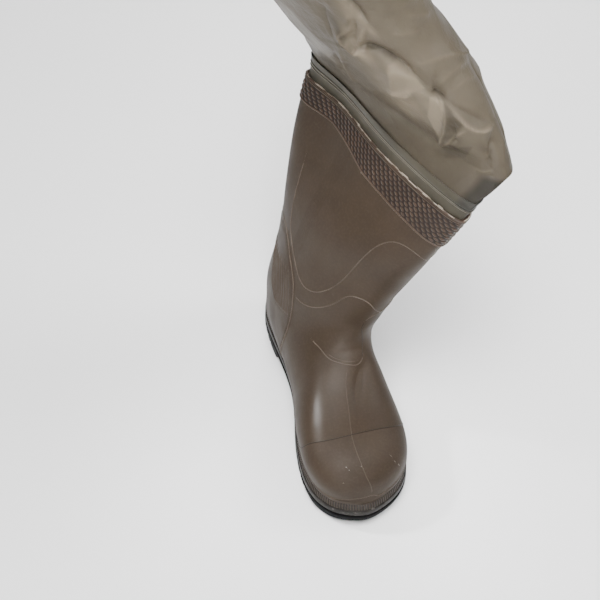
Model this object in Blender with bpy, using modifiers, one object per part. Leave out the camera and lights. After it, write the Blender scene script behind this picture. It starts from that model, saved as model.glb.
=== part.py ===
"""Boot foot of a wader for the left foot, with the slack cloth leg above it.

Metres, Z up, toe towards -Y, outer side of the foot towards +X.  The origin lies on the
floor under the middle of the heel.  The tables are in millimetres: x is the reach to the
outer side, u is the way from the back of the heel towards the toe, z is the height.
"""

import math
from collections import namedtuple

import bmesh
import bpy
import numpy as np

MM = 0.001

# Sizes of the whole
HEEL_REST = 40.0
FIT_GAP = 0.3

# Sole
GROOVE_DEPTH = 4.5
GROOVE_WIDTH = 5.0
GROOVE_SWEEP = 12.0
GROOVE_REACH = 70.0
HEEL_GROOVES = (18.0, 30.0, 52.0, 64.0)
FOREFOOT_GROOVES = (164.0, 180.0, 196.0, 212.0, 228.0, 244.0, 260.0)
SOLE_STATIONS = 44

# Upper
UPPER_INSET = 5.8
UPPER_WALL = 2.6
SKIRT = 13.0
TOE_ARC_U = 295.5
HEEL_ARC_U = 34.0
BAND_RAISE = 0.9
GUARD_RAISE = 1.1
GUARD_EDGE = 0.73
RING_WIDEST = 0.54
HOLLOW_START = 0.1
HOLLOW_DEEPEST = 0.75
SEAT_COLUMN = 0.8
HALF_COLUMNS = (0.0, 0.05, 0.11, 0.18, 0.26, 0.34, 0.43, 0.52, 0.61, 0.7, 0.76, 0.8, 0.86, 0.93, 0.97, 1.0)

# Insole, tape and cloth
INSOLE_INSET = 9.8
INSOLE_THICK = 4.0
TAPE_INSET = 3.6
TAPE_THICK = 0.8
CLOTH_INSET = 5.4
CLOTH_THICK = 0.9
FLARE_ROWS = 1.5
HEM_THICK = 1.7
OVERLAP_ROWS = 0.4

SoleStation = namedtuple("SoleStation", "along medial lateral")
SOLE = (
    SoleStation(0.0, 0.0, 0.0),
    SoleStation(6.0, 20.0, 20.0),
    SoleStation(18.0, 32.5, 32.0),
    SoleStation(38.0, 40.0, 39.0),
    SoleStation(70.0, 41.0, 40.0),
    SoleStation(105.0, 38.0, 39.0),
    SoleStation(140.0, 37.5, 41.0),
    SoleStation(175.0, 44.0, 46.5),
    SoleStation(205.0, 51.0, 51.5),
    SoleStation(230.0, 54.5, 53.0),
    SoleStation(254.0, 54.5, 50.0),
    SoleStation(275.0, 49.0, 41.5),
    SoleStation(291.0, 37.5, 26.5),
    SoleStation(300.5, 21.5, 9.0),
    SoleStation(304.0, 7.0, -7.0),
)

SeatHeight = namedtuple("SeatHeight", "along z")
SEAT = (
    SeatHeight(0.0, 26.5),
    SeatHeight(40.0, 26.0),
    SeatHeight(75.0, 24.5),
    SeatHeight(105.0, 21.0),
    SeatHeight(135.0, 17.5),
    SeatHeight(165.0, 15.5),
    SeatHeight(200.0, 15.0),
    SeatHeight(230.0, 15.0),
    SeatHeight(255.0, 16.0),
    SeatHeight(282.0, 18.8),
    SeatHeight(304.0, 21.5),
)

TreadHeight = namedtuple("TreadHeight", "along z")
TREAD = (
    TreadHeight(0.0, 1.5),
    TreadHeight(8.0, 0.0),
    TreadHeight(78.0, 0.0),
    TreadHeight(84.0, 8.0),
    TreadHeight(110.0, 7.5),
    TreadHeight(135.0, 4.5),
    TreadHeight(150.0, 0.0),
    TreadHeight(238.0, 0.0),
    TreadHeight(264.0, 1.8),
    TreadHeight(285.0, 5.5),
    TreadHeight(304.0, 10.5),
)

# Side of the sole: how far each line is drawn in, and its share of the side's height
SideLine = namedtuple("SideLine", "inset share")
SOLE_SIDE = (
    SideLine(3.2, 0.0),
    SideLine(1.6, 0.14),
    SideLine(1.6, 0.5),
    SideLine(0.0, 0.58),
    SideLine(0.0, 0.93),
    SideLine(0.9, 1.0),
)

# Section of the welt: how far each corner is drawn in, and its height over the seat
WeltCorner = namedtuple("WeltCorner", "inset rise")
WELT = (
    WeltCorner(5.4, 0.3),
    WeltCorner(5.4, 12.2),
    WeltCorner(4.6, 12.2),
    WeltCorner(2.3, 8.6),
    WeltCorner(1.3, 8.2),
    WeltCorner(0.7, 7.6),
    WeltCorner(0.5, 0.3),
)

# Upright sections of the foot, toe to instep
FootRow = namedtuple("FootRow", "along ridge_x ridge_z swell widest crown")
FOOT = (
    FootRow(293.0, -7.0, 55.0, 1.4, 0.6, 2.2),
    FootRow(287.0, -7.2, 64.0, 2.6, 0.6, 2.25),
    FootRow(278.0, -7.4, 70.5, 3.6, 0.6, 2.3),
    FootRow(265.0, -7.6, 75.2, 4.4, 0.6, 2.3),
    FootRow(248.0, -7.0, 78.5, 4.8, 0.61, 2.3),
    FootRow(230.0, -4.0, 81.0, 5.0, 0.62, 2.25),
    FootRow(212.0, 0.0, 85.5, 5.4, 0.63, 2.15),
    FootRow(197.0, 5.0, 91.0, 5.8, 0.64, 2.1),
    FootRow(184.5, 10.0, 97.5, 6.0, 0.65, 2.05),
    FootRow(176.0, 13.5, 102.5, 5.8, 0.66, 2.0),
)

# Slanting sections that fan from the instep round to the side of the heel
FanRow = namedtuple("FanRow", "x u z seat_u medial lateral widest crown heel twist bend")
FAN = (
    FanRow(15.5, 170.5, 105.5, 158.0, 40.5, 44.5, 0.66, 2.0, 2.1, 0.0, 1.4),
    FanRow(17.7, 167.8, 108.7, 139.0, 39.7, 43.2, 0.64, 2.0, 2.1, 1.0, 1.7),
    FanRow(20.2, 166.1, 112.0, 120.0, 39.2, 42.7, 0.63, 2.0, 2.1, 2.0, 1.9),
    FanRow(23.0, 165.1, 115.7, 101.0, 39.0, 42.3, 0.61, 2.0, 2.1, 3.0, 2.1),
    FanRow(26.0, 164.5, 119.6, 80.0, 39.0, 42.0, 0.6, 2.0, 2.1, 4.0, 2.3),
    FanRow(29.3, 164.2, 124.0, 57.0, 39.0, 42.0, 0.58, 2.0, 2.1, 5.0, 2.4),
)
HEEL_ROW = FanRow(33.0, 164.3, 129.0, HEEL_ARC_U, 39.0, 42.0, 0.57, 2.0, 2.1, 6.0, 2.5)

# Closed rings of the heel and shaft, heel to collar
RING_ENDS = "front_x front_u front_z back_x back_u back_z medial lateral "
RingRow = namedtuple("RingRow", RING_ENDS + "crown heel twist drop bend hollow", defaults=(0.0, 1.0, 0.0))
RINGS = (
    RingRow(38.0, 164.8, 137.0, 0.0, 3.4, 51.0, 44.0, 37.5, 2.0, 2.3, 8.0, 11.0, 2.5),
    RingRow(42.5, 166.0, 147.0, -0.5, 2.6, 68.0, 44.0, 37.5, 2.0, 2.25, 10.0, 10.5, 2.3),
    RingRow(47.0, 167.8, 158.0, -1.0, 4.0, 90.0, 44.0, 37.5, 2.0, 2.2, 12.0, 9.0, 2.0),
    RingRow(52.0, 170.3, 170.5, -1.0, 8.5, 114.0, 41.5, 36.5, 2.0, 2.15, 14.0, 6.5, 1.75),
    RingRow(58.0, 173.7, 184.5, -0.5, 13.0, 140.0, 38.5, 36.5, 2.0, 2.1, 15.5, 4.0, 1.5),
    RingRow(64.5, 178.7, 202.5, 0.5, 15.0, 172.0, 36.0, 36.0, 2.0, 2.1, 17.0, 2.0, 1.3, 1.0),
    RingRow(71.5, 185.5, 224.0, 2.0, 14.0, 212.0, 33.0, 35.0, 2.1, 2.2, 19.0, 0.5, 1.15, 4.0),
    RingRow(78.0, 192.5, 246.0, 4.5, 13.0, 256.0, 25.0, 33.0, 2.3, 2.4, 21.0, hollow=7.5),
    RingRow(84.5, 199.0, 266.0, 9.0, 12.5, 293.0, 17.0, 30.0, 2.5, 2.4, 22.5, hollow=9.0),
    RingRow(94.0, 209.0, 298.0, 16.0, 12.0, 327.0, 11.0, 26.5, 2.7, 2.5, 23.0, hollow=7.5),
)
BAND_RINGS = 2

# Rings that boot and cloth share past their common edge, so that one curve runs through both
LEAD_RINGS = 2

# Rings of the cloth above the collar
CLOTH = (
    RingRow(98.5, 212.0, 307.5, 17.5, 12.0, 338.0, 12.0, 26.5, 2.7, 2.5, 23.0, hollow=7.0),
    RingRow(103.5, 214.0, 317.0, 18.0, 12.0, 349.0, 14.0, 27.5, 2.6, 2.5, 23.0, hollow=6.0),
    RingRow(128.5, 207.0, 335.5, 15.5, 10.5, 366.0, 20.0, 35.0, 2.2, 2.4, 26.0, hollow=4.0),
    RingRow(124.0, 194.0, 356.0, 10.0, 8.0, 386.0, 30.0, 45.0, 2.2, 2.4, 29.0, hollow=2.0),
    RingRow(110.0, 176.5, 383.0, 1.0, 4.5, 410.0, 40.0, 51.0, 2.2, 2.3, 31.0),
    RingRow(89.0, 160.0, 414.0, -8.0, 1.0, 438.0, 47.0, 55.0, 2.2, 2.2, 33.0),
    RingRow(68.0, 149.0, 446.0, -17.0, -2.0, 466.0, 52.0, 56.0, 2.1, 2.1, 34.0),
    RingRow(53.0, 142.0, 478.0, -25.0, -5.0, 496.0, 55.0, 57.0, 2.1, 2.1, 34.0),
    RingRow(43.0, 138.0, 512.0, -31.0, -7.0, 527.0, 56.0, 57.0, 2.1, 2.1, 34.0),
    RingRow(37.0, 136.0, 548.0, -35.0, -8.0, 560.0, 56.0, 57.0, 2.1, 2.1, 34.0),
)
TAPE_TOP = 3.0

Look = namedtuple("Look", "slot colour roughness")
LOOKS = {
    "outsole": Look("sole_black", (0.012, 0.012, 0.013), 0.6),
    "welt": Look("foxing_brown", (0.13, 0.09, 0.065), 0.5),
    "upper": Look("boot_brown", (0.09, 0.062, 0.042), 0.45),
    "insole": Look("insole_grey", (0.05, 0.05, 0.05), 0.9),
    "joint_tape": Look("tape_grey", (0.07, 0.07, 0.06), 0.6),
    "leg": Look("cloth_olive", (0.19, 0.17, 0.13), 0.5),
}


def spline(knots, values, at):
    """Natural cubic spline through the rows of values, read at the given places."""
    knots = np.asarray(knots, float)
    values = np.asarray(values, float)
    at = np.asarray(at, float)
    step = np.diff(knots)
    slope = np.diff(values, axis=0) / step[:, None]
    system = np.eye(len(knots))
    right = np.zeros_like(values)
    for i in range(1, len(knots) - 1):
        system[i, i - 1] = step[i - 1]
        system[i, i] = 2.0 * (step[i - 1] + step[i])
        system[i, i + 1] = step[i]
        right[i] = 6.0 * (slope[i] - slope[i - 1])
    bend = np.linalg.solve(system, right)
    i = np.clip(np.searchsorted(knots, at, side="right") - 1, 0, len(step) - 1)
    width = step[i][:, None]
    back = ((at - knots[i]) / step[i])[:, None]
    fore = 1.0 - back
    lift = (fore ** 3 - fore) * bend[i] + (back ** 3 - back) * bend[i + 1]
    return fore * values[i] + back * values[i + 1] + lift * width ** 2 / 6.0


def seat_z(along):
    """Height of the sole's upper face."""
    along = np.atleast_1d(np.asarray(along, float))
    rows = np.array(SEAT)
    return spline(rows[:, 0], rows[:, 1:], np.clip(along, 0.0, rows[-1, 0]))[:, 0]


def tread_z(along):
    """Height of the lowest face of the sole."""
    rows = np.array(TREAD)
    return np.interp(along, rows[:, 0], rows[:, 1])


def sole_edge(inset, count=960):
    """Closed plan of the sole edge drawn in by inset, from the heel by the outer side."""
    outer = [(row.lateral, row.along) for row in SOLE]
    inner = [(-row.medial, row.along) for row in SOLE[1:-1]]
    loop = np.array(outer + inner[::-1])
    wrap = 4
    points = np.vstack([loop[-wrap:], loop, loop[:wrap + 1]])
    reach = np.concatenate([[0.0], np.cumsum(np.hypot(*np.diff(points, axis=0).T))])
    at = np.linspace(reach[wrap], reach[wrap + len(loop)], count, endpoint=False)
    edge = spline(reach, points, at)
    run = np.roll(edge, -1, 0) - np.roll(edge, 1, 0)
    run /= np.linalg.norm(run, axis=1)[:, None]
    return edge + inset * np.column_stack([-run[:, 1], run[:, 0]])


def sole_sides(inset):
    """Outer and inner side of the drawn-in edge, each from the heel point to the toe point."""
    edge = sole_edge(inset)
    edge = np.roll(edge, -int(np.argmin(edge[:, 1])), 0)
    toe = int(np.argmax(edge[:, 1]))
    outer = edge[:toe + 1]
    inner = np.vstack([edge[toe:], edge[:1]])[::-1]
    return outer, inner


def sole_ring(inset, count=SOLE_STATIONS):
    """Ring of x and u stations, evenly spread along both sides of the drawn-in edge."""
    sides = []
    for side in sole_sides(inset):
        reach = np.concatenate([[0.0], np.cumsum(np.hypot(*np.diff(side, axis=0).T))])
        at = np.linspace(0.0, reach[-1], count)
        sides.append(np.column_stack([np.interp(at, reach, side[:, k]) for k in (0, 1)]))
    outer, inner = sides
    return np.vstack([outer, inner[-2:0:-1]])


def seat_reach(along):
    """Where the upper stands on the sole: x on the inner and the outer side."""
    outer, inner = sole_sides(UPPER_INSET)
    return (np.interp(along, inner[:, 1], inner[:, 0]), np.interp(along, outer[:, 1], outer[:, 0]))


def open_row(x, u, z, seat_u, medial, lateral, widest, crown, heel, twist, bend):
    """Row of a section that stands on the sole, its reach to both sides as half widths."""
    low, high = (float(side) for side in seat_reach(seat_u))
    seat_x = 0.5 * (low + high)
    middle = seat_x + (x - seat_x) * (1.0 - widest) ** bend
    foot_z = float(seat_z(seat_u)[0]) + SKIRT
    ends = (x, u, z, seat_x, seat_u, foot_z)
    return np.array((*ends, medial + middle, lateral - middle, widest, crown, heel, twist, 0.0, bend, 0.0))


def foot_row(row):
    """Row of an upright section of the foot, which swells over its seat line."""
    low, high = (float(side) for side in seat_reach(row.along))
    return open_row(row.ridge_x, row.along, row.ridge_z, row.along, row.swell - low,
                    row.swell + high, row.widest, row.crown, 2.1, 0.0, 1.0)


def ring_row(row):
    """Row of a closed ring."""
    return np.array((*row[:8], RING_WIDEST, *row[8:]))


FIRST_RING = 1 + len(FOOT) + len(FAN)
COLLAR = FIRST_RING + len(RINGS)


def spread(points, share):
    """Points at the given shares of the length of a line."""
    reach = np.concatenate([[0.0], np.cumsum(np.linalg.norm(np.diff(points, axis=0), axis=1))])
    return np.column_stack([np.interp(share * reach[-1], reach, points[:, k]) for k in range(3)])


def hollow_share(deep):
    """How far the pressed-in inner side goes in at each depth from the front, as a share."""
    span = 1.0 - HOLLOW_START
    power = math.log(0.5) / math.log((HOLLOW_DEEPEST - HOLLOW_START) / span)
    reach = np.clip((deep - HOLLOW_START) / span, 0.0, 1.0)
    return np.sin(math.pi * reach ** power) ** 2


def half_section(row, side, stands=False):
    """One side of a section as a fine line, from the ridge or front to the seat or back."""
    front = row[0:3]
    back = row[3:6]
    half = row[6 if side < 0 else 7]
    widest, crown, heel, twist, drop, bend, hollow = row[8:15]
    seat = abs(float(seat_reach(back[1])[0 if side < 0 else 1]) - back[0]) if stands else 0.0
    angle = np.linspace(0.0, math.pi / 2, 60)
    upper_deep = widest * (1.0 - np.clip(np.cos(angle), 0.0, 1.0) ** (2.0 / crown))
    upper_wide = half * np.sin(angle) ** (2.0 / crown)
    lower_deep = widest + (1.0 - widest) * np.sin(angle) ** (2.0 / heel)
    lower_wide = seat + (half - seat) * np.clip(np.cos(angle), 0.0, 1.0) ** (2.0 / heel)
    deep = np.concatenate([upper_deep, lower_deep[1:]])[:, None]
    wide = np.concatenate([upper_wide, lower_wide[1:]])[:, None]
    if side < 0:
        wide = wide - hollow * hollow_share(deep)
    line = front + (back - front) * deep
    line[:, 0:1] = back[0] + (front[0] - back[0]) * (1.0 - deep) ** bend
    line[:, 2:3] -= 4.0 * drop * deep * (1.0 - deep)
    turn = math.radians(twist) * (1.0 - deep if stands else np.ones_like(deep))
    return line + side * wide * np.hstack([np.cos(turn), -np.sin(turn), np.zeros_like(turn)])


def section(row, columns, stands=False):
    """Points of one section: column 0 is the ridge or front, the ends are the seat or back."""
    last = SEAT_COLUMN if stands else 1.0
    points = np.zeros((len(columns), 3))
    for side, chosen in ((-1, columns <= 0), (1, columns > 0)):
        line = half_section(row, side, stands)
        points[chosen] = spread(line, np.clip(np.abs(columns[chosen]) / last, 0.0, 1.0))
    return points


def seat_line(side, low, high):
    """Seat line of the upper on one side between two stations, heel to toe."""
    line = sole_sides(UPPER_INSET)[0 if side > 0 else 1]
    line = line[(line[:, 1] >= low) & (line[:, 1] <= high)]
    return np.column_stack([line, seat_z(line[:, 1]) + SKIRT])


def toe_row(columns):
    """First row of the upper: the seat line round the tip of the toe."""
    points = np.zeros((len(columns), 3))
    for side, chosen in ((-1, columns <= 0), (1, columns > 0)):
        line = seat_line(side, TOE_ARC_U, 400.0)[::-1]
        points[chosen] = spread(line, np.clip(np.abs(columns[chosen]) / SEAT_COLUMN, 0.0, 1.0))
    return points


def heel_row(columns):
    """Row that comes down to the seat at the side of the heel and follows it round the back."""
    points = section(open_row(*HEEL_ROW), columns, stands=True)
    for side in (-1, 1):
        chosen = columns * side > SEAT_COLUMN
        line = seat_line(side, 0.0, HEEL_ARC_U)[::-1]
        share = (np.abs(columns[chosen]) - SEAT_COLUMN) / (1.0 - SEAT_COLUMN)
        points[chosen] = spread(line, share)
    return points


def upper_grid(at, columns):
    """Outside of the upper at the given row numbers; row 0 is the arc of the toe.

    Rows before the heel row hold only the columns up to the seat.
    """
    rows = [toe_row(columns)]
    rows += [section(foot_row(row), columns, stands=True) for row in FOOT]
    rows += [section(open_row(*row), columns, stands=True) for row in FAN]
    rows += [heel_row(columns)]
    rows += [section(ring_row(row), columns) for row in RINGS + CLOTH[:LEAD_RINGS]]
    rows = np.array(rows)
    grid = spline(np.arange(len(rows)), rows.reshape(len(rows), -1), at).reshape(len(at), -1, 3)
    behind = np.abs(columns) > SEAT_COLUMN + 1e-6
    after = at >= FIRST_RING
    rear = rows[FIRST_RING:][:, behind]
    knots = np.arange(FIRST_RING, len(rows))
    shape = (int(after.sum()), int(behind.sum()), 3)
    grid[np.ix_(after, behind)] = spline(knots, rear.reshape(len(rear), -1), at[after]).reshape(shape)
    return grid


def drawn_in(ring, inset):
    """Closed ring of points moved towards its inside, square to its own line."""
    loop = ring[:-1]
    run = np.roll(loop, -1, 0) - np.roll(loop, 1, 0)
    facing = np.cross(loop, np.roll(loop, -1, 0)).sum(0)
    inward = np.cross(facing, run)
    moved = loop + inset * inward / np.linalg.norm(inward, axis=1)[:, None]
    return np.vstack([moved, moved[:1]])


def cloth_grid(at, columns, inset=0.0):
    """Cloth at the given row numbers, drawn in by inset; row 0 is the foot of the collar band."""
    table = RINGS[-BAND_RINGS - LEAD_RINGS:] + CLOTH
    rows = np.array([section(ring_row(row), columns) for row in table])
    knots = np.arange(len(rows)) - LEAD_RINGS
    grid = spline(knots, rows.reshape(len(rows), -1), at).reshape(len(at), -1, 3)
    return np.array([drawn_in(ring, inset) for ring in grid]) if inset else grid


def leg_grid(at, columns):
    """Outside of the leg: tucked inside the tape, let out over the rows above it."""
    tucked = cloth_grid(at, columns, CLOTH_INSET)
    slack = cloth_grid(at, columns)
    out = np.clip((at - TAPE_TOP) / FLARE_ROWS, 0.0, 1.0)[:, None, None]
    return tucked + (slack - tucked) * out


def world(points):
    """Table millimetres to metres in the frame of the part."""
    points = np.asarray(points, float)
    return np.stack([points[..., 0], HEEL_REST - points[..., 1], points[..., 2]], -1) * MM


def full_columns():
    """Columns over both sides of a section."""
    half = np.array(HALF_COLUMNS)
    return np.concatenate([-half[:0:-1], half])


def finish(bm, name, collection):
    """Put the mesh into the collection as a named object with its own material."""
    mesh = bpy.data.meshes.new(name)
    bm.to_mesh(mesh)
    bm.free()
    thing = bpy.data.objects.new(name, mesh)
    collection.objects.link(thing)
    if name in LOOKS:
        look = LOOKS[name]
        material = bpy.data.materials.new(look.slot)
        material.use_nodes = True
        shader = material.node_tree.nodes["Principled BSDF"]
        shader.inputs["Base Color"].default_value = (*look.colour, 1.0)
        shader.inputs["Roughness"].default_value = look.roughness
        mesh.materials.append(material)
    return thing


def ring_faces(bm, loops, closed=False):
    """Quads between loops of equal length; closed joins the last loop to the first."""
    rings = [[bm.verts.new(point) for point in loop] for loop in loops]
    pairs = list(zip(rings, rings[1:]))
    if closed:
        pairs.append((rings[-1], rings[0]))
    for low, high in pairs:
        for k in range(len(low)):
            n = (k + 1) % len(low)
            bm.faces.new((low[k], low[n], high[n], high[k]))
    return rings


def ladder_faces(bm, ring, upward):
    """Close a sole ring with rungs from the outer to the inner side."""
    last = len(ring) // 2
    for k in range(last):
        corners = [ring[k], ring[k + 1]]
        for other in (ring[-k - 1], ring[-k] if k else ring[0]):
            if other not in corners:
                corners.append(other)
        if not upward:
            corners.reverse()
        bm.faces.new(corners)


def shell(grid, seat_rows, thick, step, name, collection):
    """Closed wall from an open grid of outer points: the grid keeps the outside.

    The first seat_rows rows end at the seat columns and get a skirt down to the sole, all
    later rows are closed rings.  step is the height of each point over the plain wall.
    """
    bm = bmesh.new()
    share = bm.verts.layers.deform.verify()
    most = thick + float(step.max())
    points = world(grid)
    columns = full_columns()
    count = len(columns)
    rows = []
    for i in range(len(grid)):
        row = [None] * count
        for j in range(count):
            if i < seat_rows and abs(columns[j]) > SEAT_COLUMN + 1e-6:
                continue
            if i >= seat_rows and j == count - 1:
                row[j] = row[0]
                continue
            row[j] = bm.verts.new(points[i, j])
            row[j][share][0] = (thick + float(step[i, j])) / most
        rows.append(row)
    for low, high in zip(rows, rows[1:]):
        for j in range(count - 1):
            corners = (low[j], low[j + 1], high[j + 1], high[j])
            if None not in corners:
                bm.faces.new(corners)
    if seat_rows:
        add_skirt(bm, set(rows[-1]), share, thick / most)
    bm.normal_update()
    lift_steps(bm, share, thick, most)
    thing = finish(bm, name, collection)
    thing.vertex_groups.new(name="wall")
    solid = thing.modifiers.new("wall", "SOLIDIFY")
    solid.thickness = most * MM
    solid.offset = -1.0
    solid.use_even_offset = True
    solid.use_quality_normals = True
    solid.vertex_group = "wall"
    return thing


def add_skirt(bm, collar, share, plain):
    """Draw the open seat line of the upper straight down to the sole."""
    rim = [edge for edge in bm.edges if edge.is_boundary and edge.verts[0] not in collar]
    made = bmesh.ops.extrude_edge_only(bm, edges=rim)["geom"]
    for vert in made:
        if isinstance(vert, bmesh.types.BMVert):
            along = HEEL_REST - vert.co.y / MM
            vert.co.z = (float(seat_z(along)[0]) + FIT_GAP) * MM
            vert[share][0] = plain


def lift_steps(bm, share, thick, most):
    """Move the points of a raised step out along their normals."""
    moves = [(vert, vert.normal * (vert[share][0] * most - thick) * MM) for vert in bm.verts]
    for vert, move in moves:
        vert.co += move


def build_outsole(collection, cutters):
    loops = []
    for line in SOLE_SIDE:
        ring = sole_ring(line.inset)
        low = tread_z(ring[:, 1])
        z = low + (seat_z(ring[:, 1]) - low) * line.share
        loops.append(world(np.column_stack([ring, z])))
    bm = bmesh.new()
    rings = ring_faces(bm, loops)
    ladder_faces(bm, rings[0], True)
    ladder_faces(bm, rings[-1], False)
    bmesh.ops.recalc_face_normals(bm, faces=bm.faces)
    sole = finish(bm, "outsole", collection)
    for along in HEEL_GROOVES + FOREFOOT_GROOVES:
        cut = sole.modifiers.new("groove", "BOOLEAN")
        cut.operation = "DIFFERENCE"
        cut.solver = "EXACT"
        cut.object = groove(along, cutters)
    return sole


def groove(along, cutters):
    """Bent bar that cuts one groove across the tread."""
    top = float(tread_z(along)) + GROOVE_DEPTH
    plan = []
    for shift in (-0.5 * GROOVE_WIDTH, 0.5 * GROOVE_WIDTH):
        line = [(-GROOVE_REACH, along - GROOVE_SWEEP + shift), (0.0, along + shift),
                (GROOVE_REACH, along - GROOVE_SWEEP + shift)]
        plan.append(line if not plan else line[::-1])
    outline = [point for line in plan for point in line]
    bm = bmesh.new()
    ring_faces_of_prism(bm, outline, -6.0, top)
    thing = finish(bm, f"groove_{int(along)}", cutters)
    thing.hide_render = True
    thing.display_type = "WIRE"
    return thing


def ring_faces_of_prism(bm, outline, low, high):
    """Upright prism over a plan outline."""
    loops = [world([(x, u, z) for x, u in outline]) for z in (low, high)]
    rings = ring_faces(bm, loops)
    bm.faces.new(rings[0][::-1])
    bm.faces.new(rings[1])
    bmesh.ops.recalc_face_normals(bm, faces=bm.faces)


def build_welt(collection):
    loops = []
    for corner in WELT:
        ring = sole_ring(corner.inset)
        z = seat_z(ring[:, 1]) + corner.rise
        loops.append(world(np.column_stack([ring, z])))
    bm = bmesh.new()
    ring_faces(bm, loops, closed=True)
    bmesh.ops.recalc_face_normals(bm, faces=bm.faces)
    return finish(bm, "welt", collection)


def build_insole(collection):
    loops = []
    for rise in (FIT_GAP, FIT_GAP + INSOLE_THICK):
        ring = sole_ring(INSOLE_INSET)
        loops.append(world(np.column_stack([ring, seat_z(ring[:, 1]) + rise])))
    bm = bmesh.new()
    rings = ring_faces(bm, loops)
    ladder_faces(bm, rings[0], True)
    ladder_faces(bm, rings[-1], False)
    bmesh.ops.recalc_face_normals(bm, faces=bm.faces)
    return finish(bm, "insole", collection)


def build_upper(collection):
    foot = np.arange(0.0, FIRST_RING)
    shaft = np.arange(FIRST_RING + 1.0, COLLAR - BAND_RINGS, 0.5)
    heel = np.concatenate([[FIRST_RING, FIRST_RING + 0.3], shaft])
    band = [COLLAR - 2.0, COLLAR - 1.5, COLLAR - 1.06, COLLAR - 0.98, COLLAR - 0.5, COLLAR - 0.07, COLLAR]
    at = np.concatenate([foot, heel, band])
    columns = full_columns()
    grid = upper_grid(at, columns)
    step = np.zeros(grid.shape[:2])
    in_band = (at > COLLAR - 1.0) & (at < COLLAR - 0.02)
    step[in_band] = BAND_RAISE
    in_guard = (at > FIRST_RING + 0.1) & (at < FIRST_RING + 5.2)
    step[np.ix_(in_guard, np.abs(columns) > GUARD_EDGE)] = GUARD_RAISE
    return shell(grid, int(np.searchsorted(at, FIRST_RING)), UPPER_WALL, step, "upper", collection)


def build_tape(collection):
    at = np.array([1.0 - OVERLAP_ROWS, 1.0, 0.5 + 0.5 * TAPE_TOP, TAPE_TOP])
    grid = cloth_grid(at, full_columns(), TAPE_INSET)
    return shell(grid, 0, TAPE_THICK, np.zeros(grid.shape[:2]), "joint_tape", collection)


def build_leg(collection):
    top = BAND_RINGS + len(CLOTH) - 1.0
    rise = np.arange(TAPE_TOP + 0.5, top - 0.6, 0.5)
    at = np.concatenate([[1.0 - OVERLAP_ROWS, 1.0, 2.0, TAPE_TOP], rise, [top - 0.46, top - 0.4, top]])
    grid = leg_grid(at, full_columns())
    step = np.zeros(grid.shape[:2])
    step[-2:] = HEM_THICK - CLOTH_THICK
    return shell(grid, 0, CLOTH_THICK, step, "leg", collection)


def main():
    for thing in list(bpy.data.objects):
        bpy.data.objects.remove(thing, do_unlink=True)
    scene = bpy.context.scene
    parts = bpy.data.collections.new("wader_boot")
    cutters = bpy.data.collections.new("cutters")
    scene.collection.children.link(parts)
    scene.collection.children.link(cutters)
    build_outsole(parts, cutters)
    build_welt(parts)
    build_insole(parts)
    build_upper(parts)
    build_tape(parts)
    build_leg(parts)


main()
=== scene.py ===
"""Looks of the wader boot: moulded upper, knurled welt, lugged sole, seam tape and slack cloth leg.

The shape tables are those of the solids, in millimetres: x is the reach to the outer side, u the way
from the back of the heel towards the toe, z the height.  A place on the upper is a row and a column:
rows run from the toe over the heel to the collar, column 0 is the ridge or front, the inner side is
below 0 and the outer side above.  The cloth has rows of its own, from the foot of the collar band up.
A span is a first place, a last place and a count.  A window is a start, its fade in, an end and its
fade out.
"""

import math
from collections import namedtuple

import bpy
import numpy as np
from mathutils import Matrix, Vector


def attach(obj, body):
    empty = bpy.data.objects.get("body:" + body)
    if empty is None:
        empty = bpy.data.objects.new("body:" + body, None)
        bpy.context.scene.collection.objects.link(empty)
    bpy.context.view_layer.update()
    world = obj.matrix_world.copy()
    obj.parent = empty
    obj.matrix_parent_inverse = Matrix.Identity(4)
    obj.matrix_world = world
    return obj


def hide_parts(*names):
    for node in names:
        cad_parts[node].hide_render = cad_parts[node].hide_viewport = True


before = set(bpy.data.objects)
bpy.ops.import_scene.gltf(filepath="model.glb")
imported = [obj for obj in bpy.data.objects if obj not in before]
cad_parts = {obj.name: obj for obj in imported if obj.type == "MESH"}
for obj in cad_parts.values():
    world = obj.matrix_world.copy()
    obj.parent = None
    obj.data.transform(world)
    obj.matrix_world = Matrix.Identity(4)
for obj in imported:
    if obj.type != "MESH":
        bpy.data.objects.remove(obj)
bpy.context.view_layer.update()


def table(columns, *rows):
    """Rows of a table whose columns have names."""
    row_type = namedtuple("Row", columns)
    return tuple(row_type(*row) for row in rows)


MM = 0.001
HEEL_REST = 40.0
FIT_GAP = 0.3
NEAR = 1e-6
NO_LENGTH = 1e-9

# Sole, welt and insole
GROOVE_DEPTH = 4.5
GROOVE_WIDTH = 5.0
GROOVE_EDGE = 1.2
GROOVE_SWEEP = 12.0
GROOVE_REACH = 70.0
GROOVES = (18.0, 30.0, 52.0, 64.0, 164.0, 180.0, 196.0, 212.0, 228.0, 244.0, 260.0)
EDGE_POINTS = 960
SOLE_STATIONS = 320
SOLE_ACROSS = 60
RIB_PITCH = 2.6
RIB_LINE_INSET = 3.0
RIB_GAIN = 1.3
RIB_SHIFT = -0.1
WELT_STATIONS = 980
PLAIN_RELIEF = 0.6
INSOLE_INSET = 9.8
INSOLE_THICK = 4.0
INSOLE_ROUND = 3.0
INSOLE_EDGE = 0.55
INSOLE_STATIONS = 160
INSOLE_ACROSS = 40

# Upper
UPPER_INSET = 5.8
UPPER_WALL = 2.6
SKIRT = 13.0
TOE_ARC_U = 295.5
HEEL_ARC_U = 34.0
FOOT_HEEL = 2.1
RING_WIDEST = 0.54
HOLLOW_START = 0.1
HOLLOW_DEEPEST = 0.75
SEAT_COLUMN = 0.8
SECTION_POINTS = 240
FINE_ROWS = 10
UPPER_COLUMNS = ((0.0, SEAT_COLUMN, 95), (SEAT_COLUMN, 1.0, 25))
INSIDE_THIN = 4
INSIDE_RINGS = 41
TURNED = (0, 3, 2, 1)

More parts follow.
